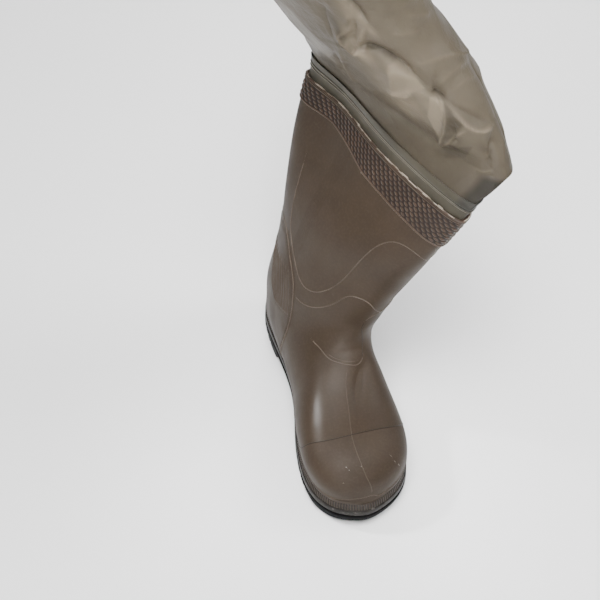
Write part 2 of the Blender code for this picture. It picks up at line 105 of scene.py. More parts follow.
# Heel guard, toe bumper and the crease of the vamp
GUARD_RAISE = 1.1
GUARD_EDGE = 0.014
GUARD_SHUT = (23.15, -1.05)
NO_GUARD = 1.2
BUMPER_TALL = 7.0
BUMPER_RAISE = 0.7
BUMPER_EDGE = 1.4
BUMPER_END = 10.5
BUMPER_FADE = 3.0
TROUGH_ROW = 7.8
TROUGH_COLUMN = 0.1
TROUGH_SLANT = 0.014
TROUGH_LONG = 1.8
TROUGH_WIDE = 0.058
TROUGH_DEEP = 3.4

# Evened turn of the ankle, with its windows, and the filled dents
EASE_SPREAD = 1.5
EASE_STEPS = 60
EASE_ROWS = (7.0, 4.0, 21.5, 3.0)
EASE_COLUMNS = (0.08, 0.2, 0.79, 0.2)
EASE_OUTER = 0.3
DENT_REACH = 11.0
DENT_FADE = 6.0
DENT_ROUNDS = 60
DENT_STEP = 0.5

# Marks of the upper: the matt toe cap, the worn toe and the polished flank of the vamp
SPOT = "row column tall wide share"
CAP_EDGE = 0.12
CAP_SIDE = 0.66
CAP_BACK = 9.5
CAP_ROUGH = 0.06
NO_CAP_LINE = 30.0
WORN_BACK = 7.0
WORN_FADE = 5.0
WORN_COLUMN = 0.2
WORN_SPREAD = 0.5
WORN_LEAST = 0.12
POLISH = table(SPOT, (6.8, -0.28, 1.7, 0.09, 0.19))

# Collar band: rims as middle, half width and height, the lower from the foot and the upper from the top
BAND_RAISE = 0.9
BAND_EDGE = 1.2
BAND_START = 25.6
BAND_ROWS = 60
BAND_STEPS = 58
BAND_COLUMNS = 721
FOOT_RIM, TOP_RIM, LIP_RIM = table("middle half high", (1.3, 1.3, 0.9), (2.2, 0.7, 0.7), (0.5, 0.7, 0.5))
FOOT_RIM_PALE = 1.2
TOP_RIM_PALE = 0.6
LIP_PALE = 0.4
LIP_RELIEF = 0.6
FIELD_LOW = 2.8
FIELD_HIGH = 3.2
FIELD_FADE = 1.0
BUMP_PITCH = 6.6
BUMP_ROWS = 3.4
BUMP_FIRST = 4.6
BUMP_LONG = 2.9
BUMP_WIDE = 1.25
BUMP_TILT = 17.0
BUMP_RAISE = 1.0
BUMP_ROUND = 0.6
BUMP_MEAN = 0.82
BUMP_VARIES = 0.18
BUMP_PHASES = (12.9, 7.3)

# Glue on the rim: broken pieces, and one thin pale bead that is a painted highlight along the rim's edge;
# waves are in radians to a column
GLUE_ROWS = (26.0, 27.4, 15)
GLUE_COLUMNS = 481
GLUE_STEPS = 500
GLUE_LEAST = 20
GLUE_OVER = 0.01
GLUE_RIPPLE = 0.012
GLUE_WAVE = 90.0
GLUE_SWELL = 37.0
GLUE_KNOBS = 120.0
GLUE_UNEVEN = 0.3
GLUE_FADE = 0.15
GLUE_SINK = 0.9
GLUE_HALF = 0.22
GLUE_END = 0.4
GLUE_HIGH = 0.8
BEAD_STEPS = 900
BEAD_OVER = 0.004
BEAD_RIPPLE = 0.006
BEAD_OUT = 0.3
BEAD_HALF = 0.3
BEAD_UNEVEN = 0.15
BEAD_WAVE = 41.0
BEAD_HIGH = 0.5

# Tape and cloth
TAPE_INSET = 3.6
TAPE_TOP = 3.0
TAPE_PROUD = 1.6
TAPE_THICK = 0.8
TAPE_TURN = 6
TAPE_ROWS = 110
TAPE_COLUMNS = 361
# Painted shade on the tape: the share of the cloth's painted shade it starts from, its most and its gain
TAPE_SHADE_START = 0.6
TAPE_SHADE_MOST = 0.4
TAPE_SHADE_GAIN = 2.0
CLOTH_INSET = 5.4
CLOTH_THICK = 0.9
HEM_THICK = 1.7
HEM_FOOT = 0.46
HEM_LIP = 0.44
HEM_STEP = 0.05
OVERLAP_ROWS = 0.4
CORNER_ROW = 4.0
CORNER_REACH = 0.25
LEG_COLUMNS = ((-1.0, -0.6, 33), (-0.6, 0.35, 191), (0.35, 1.0, 49))
FOLD_POWER = 0.95
FOLD_GAIN = 1.5
FOLD_STEP = 0.06
FOLD_FAR = 3.0
FOLD_END = 0.25
FOLD_FADE = 0.3
CREASE_REACH = 1.5
CREASE_FULL = 5.0
# Painted shade along the valleys of the folds and painted sheen along their ridges
VALLEY_PAINTED_SHADE = 0.65
RIDGE_PAINTED_SHEEN = 0.75
FACET_EDGE = 2.0
ROW_SPAN = 29.0
COLUMN_SPAN = 255.0

# Painted shade of tape and cloth: low down, and in a window under the front corner
LOW_SHADE = 0.45
LOW_SHADE_TOP = 5.6
LOW_SHADE_FADE = 2.4
CORNER_SHADE_ROWS = (1.6, 0.6, 4.15, 0.4)
CORNER_SHADE_COLUMNS = (-0.13, 0.07, 0.3, 0.15)

# Drawn lines: a whole column counts as so many rows
COLUMN_ROWS = 12.0
LINE_STEP = 0.02
LINE_LEAST = 24
LINE_FADE = 0.06
LINE_SINK = 0.35
STRIP = np.array(((-1.0, -0.4), (-0.72, 0.55), (-0.28, 0.95), (0.28, 0.95), (0.72, 0.55), (1.0, -0.4)))

# Outline of the sole from the heel to the toe
SOLE = table(
    "along medial lateral",
    (0.0, 0.0, 0.0),
    (6.0, 20.0, 20.0),
    (18.0, 32.5, 32.0),
    (38.0, 40.0, 39.0),
    (70.0, 41.0, 40.0),
    (105.0, 38.0, 39.0),
    (140.0, 37.5, 41.0),
    (175.0, 44.0, 46.5),
    (205.0, 51.0, 51.5),
    (230.0, 54.5, 53.0),
    (254.0, 54.5, 50.0),
    (275.0, 49.0, 41.5),
    (291.0, 37.5, 26.5),
    (300.5, 21.5, 9.0),
    (304.0, 7.0, -7.0),
)

# Heights of the sole's upper face and of its tread
SEAT = table(
    "along z",
    (0.0, 26.5), (40.0, 26.0), (75.0, 24.5), (105.0, 21.0), (135.0, 17.5), (165.0, 15.5),
    (200.0, 15.0), (230.0, 15.0), (255.0, 16.0), (282.0, 18.8), (304.0, 21.5),
)
TREAD = table(
    "along z",
    (0.0, 1.5), (8.0, 0.0), (78.0, 0.0), (84.0, 8.0), (110.0, 7.5), (135.0, 4.5),
    (150.0, 0.0), (238.0, 0.0), (264.0, 1.8), (285.0, 5.5), (304.0, 10.5),
)

# Side of the sole with rounded edges: inset of each line and its share of the side's height
SOLE_SIDE = table(
    "inset share",
    (3.2, 0.0), (2.2, 0.04), (1.7, 0.14), (1.6, 0.3), (1.6, 0.46), (1.2, 0.52),
    (0.3, 0.56), (0.0, 0.61), (0.0, 0.75), (0.0, 0.9), (0.3, 0.97), (0.9, 1.0),
)

# Section of the welt: inset and height over the seat, how far a rib stands out, and its paint
WELT = table(
    "inset rise rib paint",
    (5.4, 0.3, 0.0, 0),
    (5.4, 14.4, 0.0, 0),
    (4.7, 14.4, 0.0, 0),
    (4.3, 13.9, 0.3, 0),
    (4.0, 12.6, 0.7, 0),
    (3.3, 11.0, 0.7, 0),
    (2.7, 9.6, 0.7, 0),
    (2.2, 8.7, 0.5, 0),
    (1.9, 8.3, 0.0, 1),
    (1.2, 8.2, 0.0, 1),
    (0.7, 7.8, 0.0, 1),
    (0.5, 7.2, 0.0, 1),
    (0.5, 4.0, 0.0, 1),
    (0.5, 0.9, 0.0, 1),
    (0.8, 0.3, 0.0, 1),
)

# Upright sections of the foot from the toe back
FOOT = table(
    "along ridge_x ridge_z swell widest crown",
    (293.0, -7.0, 55.0, 1.4, 0.6, 2.2),
    (287.0, -7.2, 64.0, 2.6, 0.6, 2.25),
    (278.0, -7.4, 70.5, 3.6, 0.6, 2.3),
    (265.0, -7.6, 75.2, 4.4, 0.6, 2.3),
    (248.0, -7.0, 78.5, 4.8, 0.61, 2.3),
    (230.0, -4.0, 81.0, 5.0, 0.62, 2.25),
    (212.0, 0.0, 85.5, 5.4, 0.63, 2.15),
    (197.0, 5.0, 91.0, 5.8, 0.64, 2.1),
    (184.5, 10.0, 97.5, 6.0, 0.65, 2.05),
    (176.0, 13.5, 102.5, 5.8, 0.66, 2.0),
)

# Sections that fan out over the heel; the last one also follows the seat round the back
*FAN, HEEL_ROW = table(
    "x u z seat_u medial lateral widest crown heel twist bend",
    (15.5, 170.5, 105.5, 158.0, 40.5, 44.5, 0.66, 2.0, 2.1, 0.0, 1.4),
    (17.7, 167.8, 108.7, 139.0, 39.7, 43.2, 0.64, 2.0, 2.1, 1.0, 1.7),
    (20.2, 166.1, 112.0, 120.0, 39.2, 42.7, 0.63, 2.0, 2.1, 2.0, 1.9),
    (23.0, 165.1, 115.7, 101.0, 39.0, 42.3, 0.61, 2.0, 2.1, 3.0, 2.1),
    (26.0, 164.5, 119.6, 80.0, 39.0, 42.0, 0.6, 2.0, 2.1, 4.0, 2.3),
    (29.3, 164.2, 124.0, 57.0, 39.0, 42.0, 0.58, 2.0, 2.1, 5.0, 2.4),
    (33.0, 164.3, 129.0, HEEL_ARC_U, 39.0, 42.0, 0.57, 2.0, 2.1, 6.0, 2.5),
)

# Closed rings of the shaft up to the collar, and of the cloth above it
RING = "front_x front_u front_z back_x back_u back_z medial lateral crown heel twist drop bend hollow"
RINGS = table(
    RING,
    (38.0, 164.8, 137.0, 0.0, 3.4, 51.0, 44.0, 37.5, 2.0, 2.3, 8.0, 11.0, 2.5, 0.0),
    (42.5, 166.0, 147.0, -0.5, 2.6, 68.0, 44.0, 37.5, 2.0, 2.25, 10.0, 10.5, 2.3, 0.0),
    (47.0, 167.8, 158.0, -1.0, 4.0, 90.0, 44.0, 37.5, 2.0, 2.2, 12.0, 9.0, 2.0, 0.0),
    (52.0, 170.3, 170.5, -1.0, 8.5, 114.0, 41.5, 36.5, 2.0, 2.15, 14.0, 6.5, 1.75, 0.0),
    (58.0, 173.7, 184.5, -0.5, 13.0, 140.0, 38.5, 36.5, 2.0, 2.1, 15.5, 4.0, 1.5, 0.0),
    (64.5, 178.7, 202.5, 0.5, 15.0, 172.0, 36.0, 36.0, 2.0, 2.1, 17.0, 2.0, 1.3, 1.0),
    (71.5, 185.5, 224.0, 2.0, 14.0, 212.0, 33.0, 35.0, 2.1, 2.2, 19.0, 0.5, 1.15, 4.0),
    (78.0, 192.5, 246.0, 4.5, 13.0, 256.0, 25.0, 33.0, 2.3, 2.4, 21.0, 0.0, 1.0, 7.5),
    (84.5, 199.0, 266.0, 9.0, 12.5, 293.0, 17.0, 30.0, 2.5, 2.4, 22.5, 0.0, 1.0, 9.0),
    (94.0, 209.0, 298.0, 16.0, 12.0, 327.0, 11.0, 26.5, 2.7, 2.5, 23.0, 0.0, 1.0, 7.5),
)
CLOTH = table(
    RING,
    (98.5, 212.0, 307.5, 17.5, 12.0, 338.0, 12.0, 26.5, 2.7, 2.5, 23.0, 0.0, 1.0, 7.0),
    (103.5, 214.0, 317.0, 18.0, 12.0, 349.0, 14.0, 27.5, 2.6, 2.5, 23.0, 0.0, 1.0, 6.0),
    (128.5, 207.0, 335.5, 15.5, 10.5, 366.0, 20.0, 35.0, 2.2, 2.4, 26.0, 0.0, 1.0, 4.0),
    (124.0, 194.0, 356.0, 10.0, 8.0, 386.0, 30.0, 45.0, 2.2, 2.4, 29.0, 0.0, 1.0, 2.0),
    (110.0, 176.5, 383.0, 1.0, 4.5, 410.0, 40.0, 51.0, 2.2, 2.3, 31.0, 0.0, 1.0, 0.0),
    (89.0, 160.0, 414.0, -8.0, 1.0, 438.0, 47.0, 55.0, 2.2, 2.2, 33.0, 0.0, 1.0, 0.0),
    (68.0, 149.0, 446.0, -17.0, -2.0, 466.0, 52.0, 56.0, 2.1, 2.1, 34.0, 0.0, 1.0, 0.0),
    (53.0, 142.0, 478.0, -25.0, -5.0, 496.0, 55.0, 57.0, 2.1, 2.1, 34.0, 0.0, 1.0, 0.0),
    (43.0, 138.0, 512.0, -31.0, -7.0, 527.0, 56.0, 57.0, 2.1, 2.1, 34.0, 0.0, 1.0, 0.0),
    (37.0, 136.0, 548.0, -35.0, -8.0, 560.0, 56.0, 57.0, 2.1, 2.1, 34.0, 0.0, 1.0, 0.0),
)
BAND_RINGS = 2
LEAD_RINGS = 2
RING_ENDS = 8
FIRST_RING = 1 + len(FOOT) + len(FAN)
COLLAR = FIRST_RING + len(RINGS)
LEG_TOP = BAND_RINGS + len(CLOTH) - 1.0
LEG_ROWS = (
    (1.0 - OVERLAP_ROWS, TAPE_TOP, 10),
    (TAPE_TOP, LEG_TOP - HEM_FOOT, 150),
    (LEG_TOP - HEM_LIP, LEG_TOP, 10),
)

# Window of rows in which the cloth is free to fold
LOOSE_ROWS = (TAPE_TOP + 0.1, 0.5, LEG_TOP - 0.5, 0.6)

# Moulded lines of the upper as rows and columns
TOE_CAP = (
    (10.0, -0.66), (8.0, -0.655), (6.8, -0.64), (6.0, -0.58), (5.65, -0.5), (5.45, -0.4), (5.2, -0.28),
    (5.03, 0.0), (5.1, 0.25), (5.27, 0.4), (5.6, 0.52), (6.1, 0.6), (6.9, 0.645), (8.0, 0.655),
    (10.0, 0.66),
)
CENTRE_SEAM = (
    (9.0, -0.02), (7.9, -0.02), (6.4, 0.0), (5.1, -0.005), (3.5, 0.0), (1.7, 0.05), (0.5, 0.19),
)
TONGUE = (
    (15.85, -0.275), (15.1, -0.259), (14.5, -0.243), (12.0, -0.191), (9.82, -0.092), (9.25, 0.0),
    (9.27, 0.085), (9.65, 0.108), (10.4, 0.107),
)
TONGUE_EDGE = (
    (9.45, 0.102), (10.1, 0.108), (11.0, 0.102), (12.8, 0.07), (15.0, 0.015), (17.0, -0.025),
    (18.6, -0.045),
)
ANKLE_LOW = (
    (19.15, 0.01), (19.95, -0.035), (21.1, -0.1), (21.65, -0.185), (21.65, -0.21), (21.1, -0.24),
    (20.45, -0.28), (20.15, -0.335), (20.25, -0.415), (20.55, -0.475),
)
ANKLE_HIGH = (
    (24.3, 0.02), (24.9, -0.05), (25.15, -0.12), (25.05, -0.185), (24.5, -0.24), (23.4, -0.275),
    (22.3, -0.3), (21.4, -0.37), (21.4, -0.45), (21.9, -0.535), (22.35, -0.595), (22.9, -0.675),
    (23.25, -0.72), (24.2, -0.78), (25.2, -0.82),
)
GUARD_LINE = (
    (13.6, -0.76), (14.0, -0.7), (14.5, -0.61), (15.2, -0.525), (16.05, -0.47), (17.35, -0.437),
    (18.75, -0.444), (20.0, -0.467), (20.95, -0.502), (21.65, -0.555), (22.3, -0.63), (22.95, -0.73),
    (23.2, -0.83), (23.2, -0.92), (23.1, -0.99),
)
BUMPER_LINE = (
    (9.6, -0.69), (7.0, -0.7), (4.5, -0.71), (2.4, -0.705), (1.3, -0.63), (0.72, -0.5), (0.47, -0.3),
    (0.41, 0.0), (0.43, 0.3), (0.52, 0.55), (1.0, 0.64), (2.0, 0.665), (4.0, 0.69), (7.0, 0.7),
    (9.6, 0.69),
)
FRONT_SEAM = (
    (25.8, -0.024), (24.45, 0.01), (22.85, 0.017), (21.2, 0.012), (19.65, 0.004), (18.9, -0.03),
    (18.3, -0.046),
)

# Stretches of those lines: front of the cap, rise of the guard, its flank, and a line inside the tongue's
CAP_FRONT = TOE_CAP[3:12]
GUARD_RISE = GUARD_LINE[:12]
GUARD_FLANK = GUARD_LINE[4:12]
TONGUE_INNER_UP = 0.28
TONGUE_INNER_IN = 0.93
TONGUE_INNER = tuple((row + TONGUE_INNER_UP, column * TONGUE_INNER_IN) for row, column in TONGUE[3:7])

# How each line is drawn: paint, knots, width, height, share that runs out at an end, and if on both sides
PALE, FAINT, DARK, BARE = range(4)
LINE_COLUMNS = "tone knots wide high fade both"
LINES = table(
    LINE_COLUMNS,
    (PALE, FRONT_SEAM, 1.0, 0.4, LINE_FADE, False),
    (PALE, TONGUE, 1.15, 0.5, 0.12, False),
    (FAINT, CENTRE_SEAM, 1.1, 0.35, LINE_FADE, False),
    (DARK, TOE_CAP, 1.2, 0.4, LINE_FADE, False),
    (FAINT, BUMPER_LINE, 1.1, 0.3, LINE_FADE, False),
    # TONGUE_EDGE in the dark paint is painted shade along the edge of the tongue
    (DARK, TONGUE_EDGE, 1.0, 0.35, 0.12, False),
    (FAINT, TONGUE_INNER, 1.2, 0.4, 0.2, False),
    (PALE, ANKLE_LOW, 1.2, 0.5, LINE_FADE, True),
    (PALE, ANKLE_HIGH, 1.1, 0.5, LINE_FADE, True),
    (PALE, GUARD_LINE, 1.3, 0.5, LINE_FADE, True),
)

# Ribs of the heel guard: low and high row, then the gap to the guard's line at the low and the high end,
# each for the first rib and with its step to the next
GUARD_RIBS = 11
RIB_KNOTS = 9
RIB_FAN = table("first step", (18.3, 0.06), (21.9, 0.04), (0.018, 0.0125), (0.026, 0.024))
RIB_WIDE = 1.3
RIB_HIGH = 0.5
RIB_FADE = 0.12

# Pale scratches: width, then rows and columns
SCRATCH_HIGH = 0.12
SCRATCH_FADE = 0.4
SCRATCHES = table(
    "wide knots",
    (0.5, ((3.5, 0.315), (3.29, 0.355))),
    (0.6, ((3.12, 0.375), (2.93, 0.422))),
    (0.9, ((2.96, 0.448), (2.84, 0.496))),
    (0.9, ((3.0, -0.006), (2.9, 0.006))),
    (0.7, ((2.82, 0.008), (2.74, 0.02))),
    (0.8, ((3.26, -0.17), (3.12, -0.156))),
    (0.5, ((2.98, -0.155), (2.86, -0.14))),
    (0.5, ((2.2, -0.31), (2.05, -0.29))),
    (0.8, ((26.13, -0.494), (26.1, -0.488))),
)

# Lower edge of the collar band: row at each distance from the front; then the turned-in top edge
BAND_FOOT = table(
    "away row",
    (0.0, 25.82), (0.1, 25.91), (0.19, 26.0), (0.35, 26.1), (0.49, 26.14), (0.6, 26.27), (0.75, 26.36),
    (0.9, 26.28), (1.0, 26.25),
)
BAND_LIP = table("drop out", (-0.3, 0.5), (-0.3, -0.2), (0.2, -1.2), (1.2, -1.9), (3.0, -2.4), (14.0, -2.6))

# Pale remains of glue on the collar's rim: first and last column and the width
GLUE = table(
    "first last wide",
    (-0.93, -0.85, 1.3), (-0.82, -0.7, 1.7), (-0.67, -0.615, 1.5), (-0.42, -0.345, 1.1),
    (-0.335, -0.29, 1.8), (-0.245, -0.16, 1.3), (-0.128, -0.1, 1.6), (0.12, 0.2, 1.2),
    (0.34, 0.37, 1.6), (0.52, 0.66, 1.1), (0.78, 0.83, 1.4),
)

# Lines along the tape: row, half width in rows and height
TAPE_LINES = table(
    "row half high", (1.83, 0.055, 0.7), (1.94, 0.05, -0.5), (2.32, 0.05, 0.55), (2.43, 0.05, -0.5),
)

# Folds of the cloth: height, reach to the left and right of the drawn line, then rows and columns
FOLDS = table(
    "height left right knots",
    (-6.5, 3.0, 12.0, ((7.2, -0.36), (7.4, -0.26), (7.3, -0.2), (7.05, -0.165), (6.8, -0.14),
                       (6.55, -0.135))),
    (-5.0, 3.0, 9.0, ((6.55, -0.135), (6.5, -0.1), (6.3, -0.085))),
    (-2.6, 3.5, 3.0, ((6.5, -0.1), (6.25, -0.075), (6.05, -0.04), (5.65, 0.02))),
    (5.0, 7.0, 2.2, ((6.3, -0.1), (5.9, -0.085), (5.65, -0.06), (5.6, -0.025), (5.6, 0.02))),
    (4.6, 2.6, 9.0, ((6.45, -0.11), (5.8, -0.145), (5.1, -0.2), (4.25, -0.258))),
    (-4.4, 6.0, 6.0, ((6.0, -0.11), (5.5, -0.13), (4.8, -0.19))),
    (2.4, 3.0, 6.0, ((4.25, -0.258), (5.05, -0.17), (5.5, -0.11), (5.7, -0.07))),
    (1.7, 2.5, 6.5, ((6.6, -0.125), (6.98, -0.02), (6.8, 0.12))),
    (1.3, 2.0, 5.0, ((6.6, -0.065), (6.7, 0.01), (6.5, 0.1))),
    (1.7, 3.0, 7.0, ((7.3, -0.13), (7.37, -0.015), (6.9, 0.12), (6.4, 0.24))),
    (-4.0, 3.0, 9.0, ((9.6, -0.27), (8.9, -0.23), (8.5, -0.2), (8.25, -0.19))),
    (3.4, 4.0, 4.0, ((8.3, -0.27), (7.85, -0.31), (7.3, -0.38), (7.15, -0.365), (7.5, -0.3), (8.0, -0.235),
                     (8.3, -0.2))),
    (-2.6, 5.0, 5.0, ((8.4, -0.235), (7.9, -0.275), (7.45, -0.34))),
    (1.3, 2.5, 2.5, ((8.6, -0.05), (8.4, 0.0), (8.2, 0.08))),
    (1.3, 2.5, 2.5, ((8.08, -0.125), (8.12, -0.07), (8.1, -0.01))),
    (3.0, 8.0, 2.4, ((6.05, -0.34), (6.15, -0.28), (6.4, -0.2))),
    (2.0, 8.0, 4.0, ((7.2, -0.21), (6.6, -0.265), (6.05, -0.32))),
    (-3.0, 5.0, 5.0, ((5.55, 0.0), (5.2, -0.03), (4.65, -0.055), (4.2, -0.07))),
    (1.6, 4.0, 3.0, ((3.95, -0.12), (4.05, -0.08), (4.3, -0.05))),
    (-2.2, 16.0, 16.0, ((4.2, 0.04), (5.2, 0.07), (6.2, 0.11), (7.2, 0.16))),
    (-2.4, 7.0, 7.0, ((6.6, -0.5), (5.6, -0.58), (4.4, -0.68))),
    (2.6, 7.0, 7.0, ((6.9, -0.44), (5.9, -0.52), (4.6, -0.6))),
    (-2.4, 8.0, 8.0, ((8.6, -0.33), (7.9, -0.39), (7.1, -0.44))),
    (3.2, 9.0, 6.0, ((9.4, 0.1), (8.6, 0.22), (7.7, 0.38), (7.0, 0.55))),
    (-2.6, 8.0, 8.0, ((8.4, 0.12), (7.6, 0.26), (6.8, 0.42))),
    (3.4, 7.0, 9.0, ((6.2, 0.12), (6.0, 0.3), (6.2, 0.48), (6.8, 0.66))),
    (3.0, 8.0, 5.0, ((5.2, 0.2), (5.0, 0.36), (5.3, 0.52), (5.1, 0.7))),
    (-2.8, 7.0, 7.0, ((5.6, 0.22), (5.4, 0.38), (5.6, 0.55))),
    (3.0, 8.0, 8.0, ((9.2, 0.62), (8.2, 0.74), (7.0, 0.82), (6.0, 0.86))),
    (-2.6, 8.0, 8.0, ((8.8, 0.8), (7.6, 0.9), (6.4, 0.95))),
    (3.0, 8.0, 8.0, ((9.3, -0.6), (8.2, -0.72), (7.0, -0.8), (5.8, -0.84))),
    (-2.4, 7.0, 7.0, ((8.8, -0.78), (7.6, -0.88), (6.4, -0.93))),
    (2.0, 6.0, 6.0, ((10.6, -0.1), (10.0, -0.06), (9.4, 0.02))),
    (-2.0, 8.0, 8.0, ((10.7, -0.4), (9.8, -0.43), (9.0, -0.46))),
    (2.2, 8.0, 8.0, ((10.7, 0.3), (9.9, 0.36), (9.2, 0.46))),
)

# Painted sheen and painted shade areas of the cloth
SHEEN_SPOTS = table(
    SPOT,
    (6.9, -0.195, 0.32, 0.045, 0.5), (5.6, -0.31, 0.5, 0.05, 0.6), (6.5, -0.175, 0.25, 0.03, 0.4),
    (5.95, -0.18, 0.5, 0.03, 0.4), (8.5, -0.25, 0.4, 0.03, 0.5), (7.65, -0.3, 0.4, 0.03, 0.45),
    (7.15, -0.32, 0.3, 0.035, 0.9), (6.0, -0.28, 0.6, 0.06, 0.75), (8.1, -0.205, 0.25, 0.02, 0.5),
    (7.0, 0.5, 0.8, 0.12, 0.5), (5.6, 0.62, 0.5, 0.1, 0.5), (8.4, 0.75, 0.7, 0.1, 0.4),
    (7.6, -0.75, 0.8, 0.1, 0.4),
)
SHADE_SPOTS = table(
    SPOT,
    (6.6, -0.5, 0.9, 0.1, 0.35), (4.6, -0.19, 0.25, 0.03, 0.5), (5.0, -0.06, 0.22, 0.03, 0.4),
    (7.85, -0.35, 0.5, 0.025, 0.45), (6.75, -0.1, 0.2, 0.03, 0.3), (9.3, -0.1, 0.5, 0.08, 0.25),
)

# Flat facets between the folds: strength, painted sheen above 0 and painted shade below, then rows and
# columns of the corners
FACETS = table(
    "strength corners",
    (0.6, ((7.11, -0.23), (7.31, -0.165), (6.63, -0.146), (6.38, -0.217), (6.11, -0.316))),
    (0.7, ((6.43, -0.15), (6.35, -0.11), (4.5, -0.248), (5.65, -0.221))),
    (-0.45, ((6.33, -0.108), (5.83, -0.084), (4.55, -0.24))),
    (0.55, ((8.85, -0.227), (8.25, -0.198), (7.67, -0.263), (7.12, -0.39), (8.32, -0.254))),
    (-0.5, ((4.23, -0.258), (5.07, -0.097), (4.23, -0.158), (3.69, -0.234))),
)

# Paints: tones, then roughness, grain, size of the clouds, gloss and painted glints; scales are waves to the
# metre
SOFT = (0.3, 0.7)
GRAIN_DEPTH = 0.0004
ROUGH_SCALE = 2.3
ROUGH_VARIES = 0.06
CELL_BEND_SCALE = 9.0
CELL_BEND = 0.05
MIX_SHARE, MIX_FIRST, MIX_SECOND, MIX_RESULT = (0, 6, 7, 2)
Plain = namedtuple("Plain", "base dark rough grain_scale grain cloud gloss speck",
                   defaults=(700.0, 0.25, 30.0, 0.2, None))
PLAIN = {
    "line_brown": Plain((0.078, 0.06, 0.0455), (0.05, 0.0375, 0.0275), 0.45, cloud=60.0),
    "line_faint": Plain((0.052, 0.0385, 0.028), (0.04, 0.0292, 0.0205), 0.5),
    "line_dark": Plain((0.018, 0.0125, 0.0085), (0.013, 0.009, 0.006), 0.5),
    "scratch_pale": Plain((0.16, 0.14, 0.12), (0.1, 0.085, 0.07), 0.6),
    # The plain band of the welt carries pale painted glints
    "welt_edge": Plain((0.017, 0.014, 0.012), (0.007, 0.0057, 0.0048), 0.5, grain=0.3, cloud=120.0,
                       gloss=0.12, speck=(0.07, 0.064, 0.058)),
    "sole_black_looks": Plain((0.0022, 0.0022, 0.0024), (0.0012, 0.0012, 0.0014), 0.55, gloss=0.03),
    "insole_felt": Plain((0.06, 0.06, 0.058), (0.04, 0.04, 0.039), 0.9, 1200.0, 0.6, 45.0),
    "glue_and_rim_highlight": Plain((0.42, 0.37, 0.3), (0.19, 0.16, 0.12), 0.4, 900.0, 0.3, 160.0),
}
LINE_PAINTS = ("line_brown", "line_faint", "line_dark", "scratch_pale")
# The gap tone is painted shade in the low places of the relief
Relief = namedtuple("Relief", "base dark gap rim low high")
RELIEF = {
    "band_brown": Relief((0.056, 0.035, 0.0235), (0.044, 0.0275, 0.0182), (0.009, 0.0056, 0.0038),
                         (0.056, 0.0385, 0.0275), 0.46, 0.9),
    "welt_brown": Relief((0.031, 0.022, 0.0155), (0.0235, 0.0165, 0.0115), (0.007, 0.0049, 0.0035),
                         (0.038, 0.027, 0.019), 0.1, 0.8),
}
BOOT_BASE = (0.0282, 0.0182, 0.0106)
BOOT_DARK = (0.023, 0.0147, 0.0084)
BOOT_SPECKLE = (0.046, 0.032, 0.0215)
BOOT_SCUFF = (0.11, 0.096, 0.082)
TAPE_BASE = (0.043, 0.0378, 0.0272)
TAPE_DARK = (0.034, 0.0298, 0.0214)
# Painted shade in the tape's grooves and painted highlight on its raised lines
TAPE_GROOVE_SHADE = (0.018, 0.0175, 0.0142)
TAPE_RIDGE_HIGHLIGHT = (0.14, 0.125, 0.1)
# Painted shade of the tape under the cloth's front corner
TAPE_PAINTED_SHADE = (0.012, 0.0115, 0.0095)
CLOTH_BASE = (0.077, 0.0637, 0.0458)
CLOTH_DARK = (0.0605, 0.05, 0.0355)
# Painted sheen of the cloth
CLOTH_PAINTED_SHEEN = (0.15, 0.123, 0.088)
# Painted shade of the cloth
CLOTH_PAINTED_SHADE = (0.016, 0.0135, 0.01)

# Stage, in metres, watts and degrees
FLOOR_REACH = 5.0
FLOOR_BASE = (0.95, 0.95, 0.95)
FLOOR_DARK = (0.93, 0.93, 0.93)
FLOOR_GLOSS = 0.5
SKY_COLOUR = (1.0, 1.0, 1.0, 1.0)
SKY_STRENGTH = 0.18
CAMERA_LENS = 60.0
CAMERA_SENSOR = 36.0
CAMERA_PLACE = (-0.199, -0.7081, 0.8751)
CAMERA_TARGET = (-0.011144, -0.039478, 0.09)
OPEN_BEAM = 180.0
LAMPS = table(
    "name place target size power beam",
    ("top", (-0.35, -0.65, 2.1), (0.0, -0.1, 0.15), 0.9, 76.0, OPEN_BEAM),
    ("left", (-1.25, -1.2, 1.0), (0.0, -0.06, 0.3), 0.4, 4.5, OPEN_BEAM),
    ("right", (1.45, -0.3, 1.5), (0.0, -0.06, 0.2), 0.8, 26.0, OPEN_BEAM),
    ("fill", (-0.45, -1.7, 0.75), (0.02, -0.08, 0.14), 0.4, 0.7, 22.0),
    ("streak", (-1.02, 0.42, 1.32), (-0.035, -0.2, 0.07), 0.2, 0.17, 14.0),
    ("front", (-0.63, -1.55, 0.92), (0.06, -0.12, 0.43), 0.2, 0.34, 15.0),
    ("back", (0.5, 1.5, 1.5), (0.0, -0.06, 0.3), 0.9, 28.0, OPEN_BEAM),
)


def spline(knots, values, at):
    """Natural cubic spline through the rows of values, read at the given places."""
    knots = np.asarray(knots, float)
    values = np.asarray(values, float)
    at = np.asarray(at, float)
    step = np.diff(knots)
    slope = np.diff(values, axis=0) / step[:, None]
    system = np.eye(len(knots))
    right = np.zeros_like(values)
    for i in range(1, len(knots) - 1):
        system[i, i - 1] = step[i - 1]
        system[i, i] = 2.0 * (step[i - 1] + step[i])
        system[i, i + 1] = step[i]
        right[i] = 6.0 * (slope[i] - slope[i - 1])
    bend = np.linalg.solve(system, right)
    i = np.clip(np.searchsorted(knots, at, side="right") - 1, 0, len(step) - 1)
    width = step[i][:, None]
    back = ((at - knots[i]) / step[i])[:, None]
    fore = 1.0 - back
    lift = (fore ** 3 - fore) * bend[i] + (back ** 3 - back) * bend[i + 1]
    return fore * values[i] + back * values[i + 1] + lift * width ** 2 / 6.0


def lofted(knots, rows, at):
    """Rows of points joined by a spline, read at the given row numbers."""
    return spline(knots, rows.reshape(len(rows), -1), at).reshape(len(at), -1, 3)


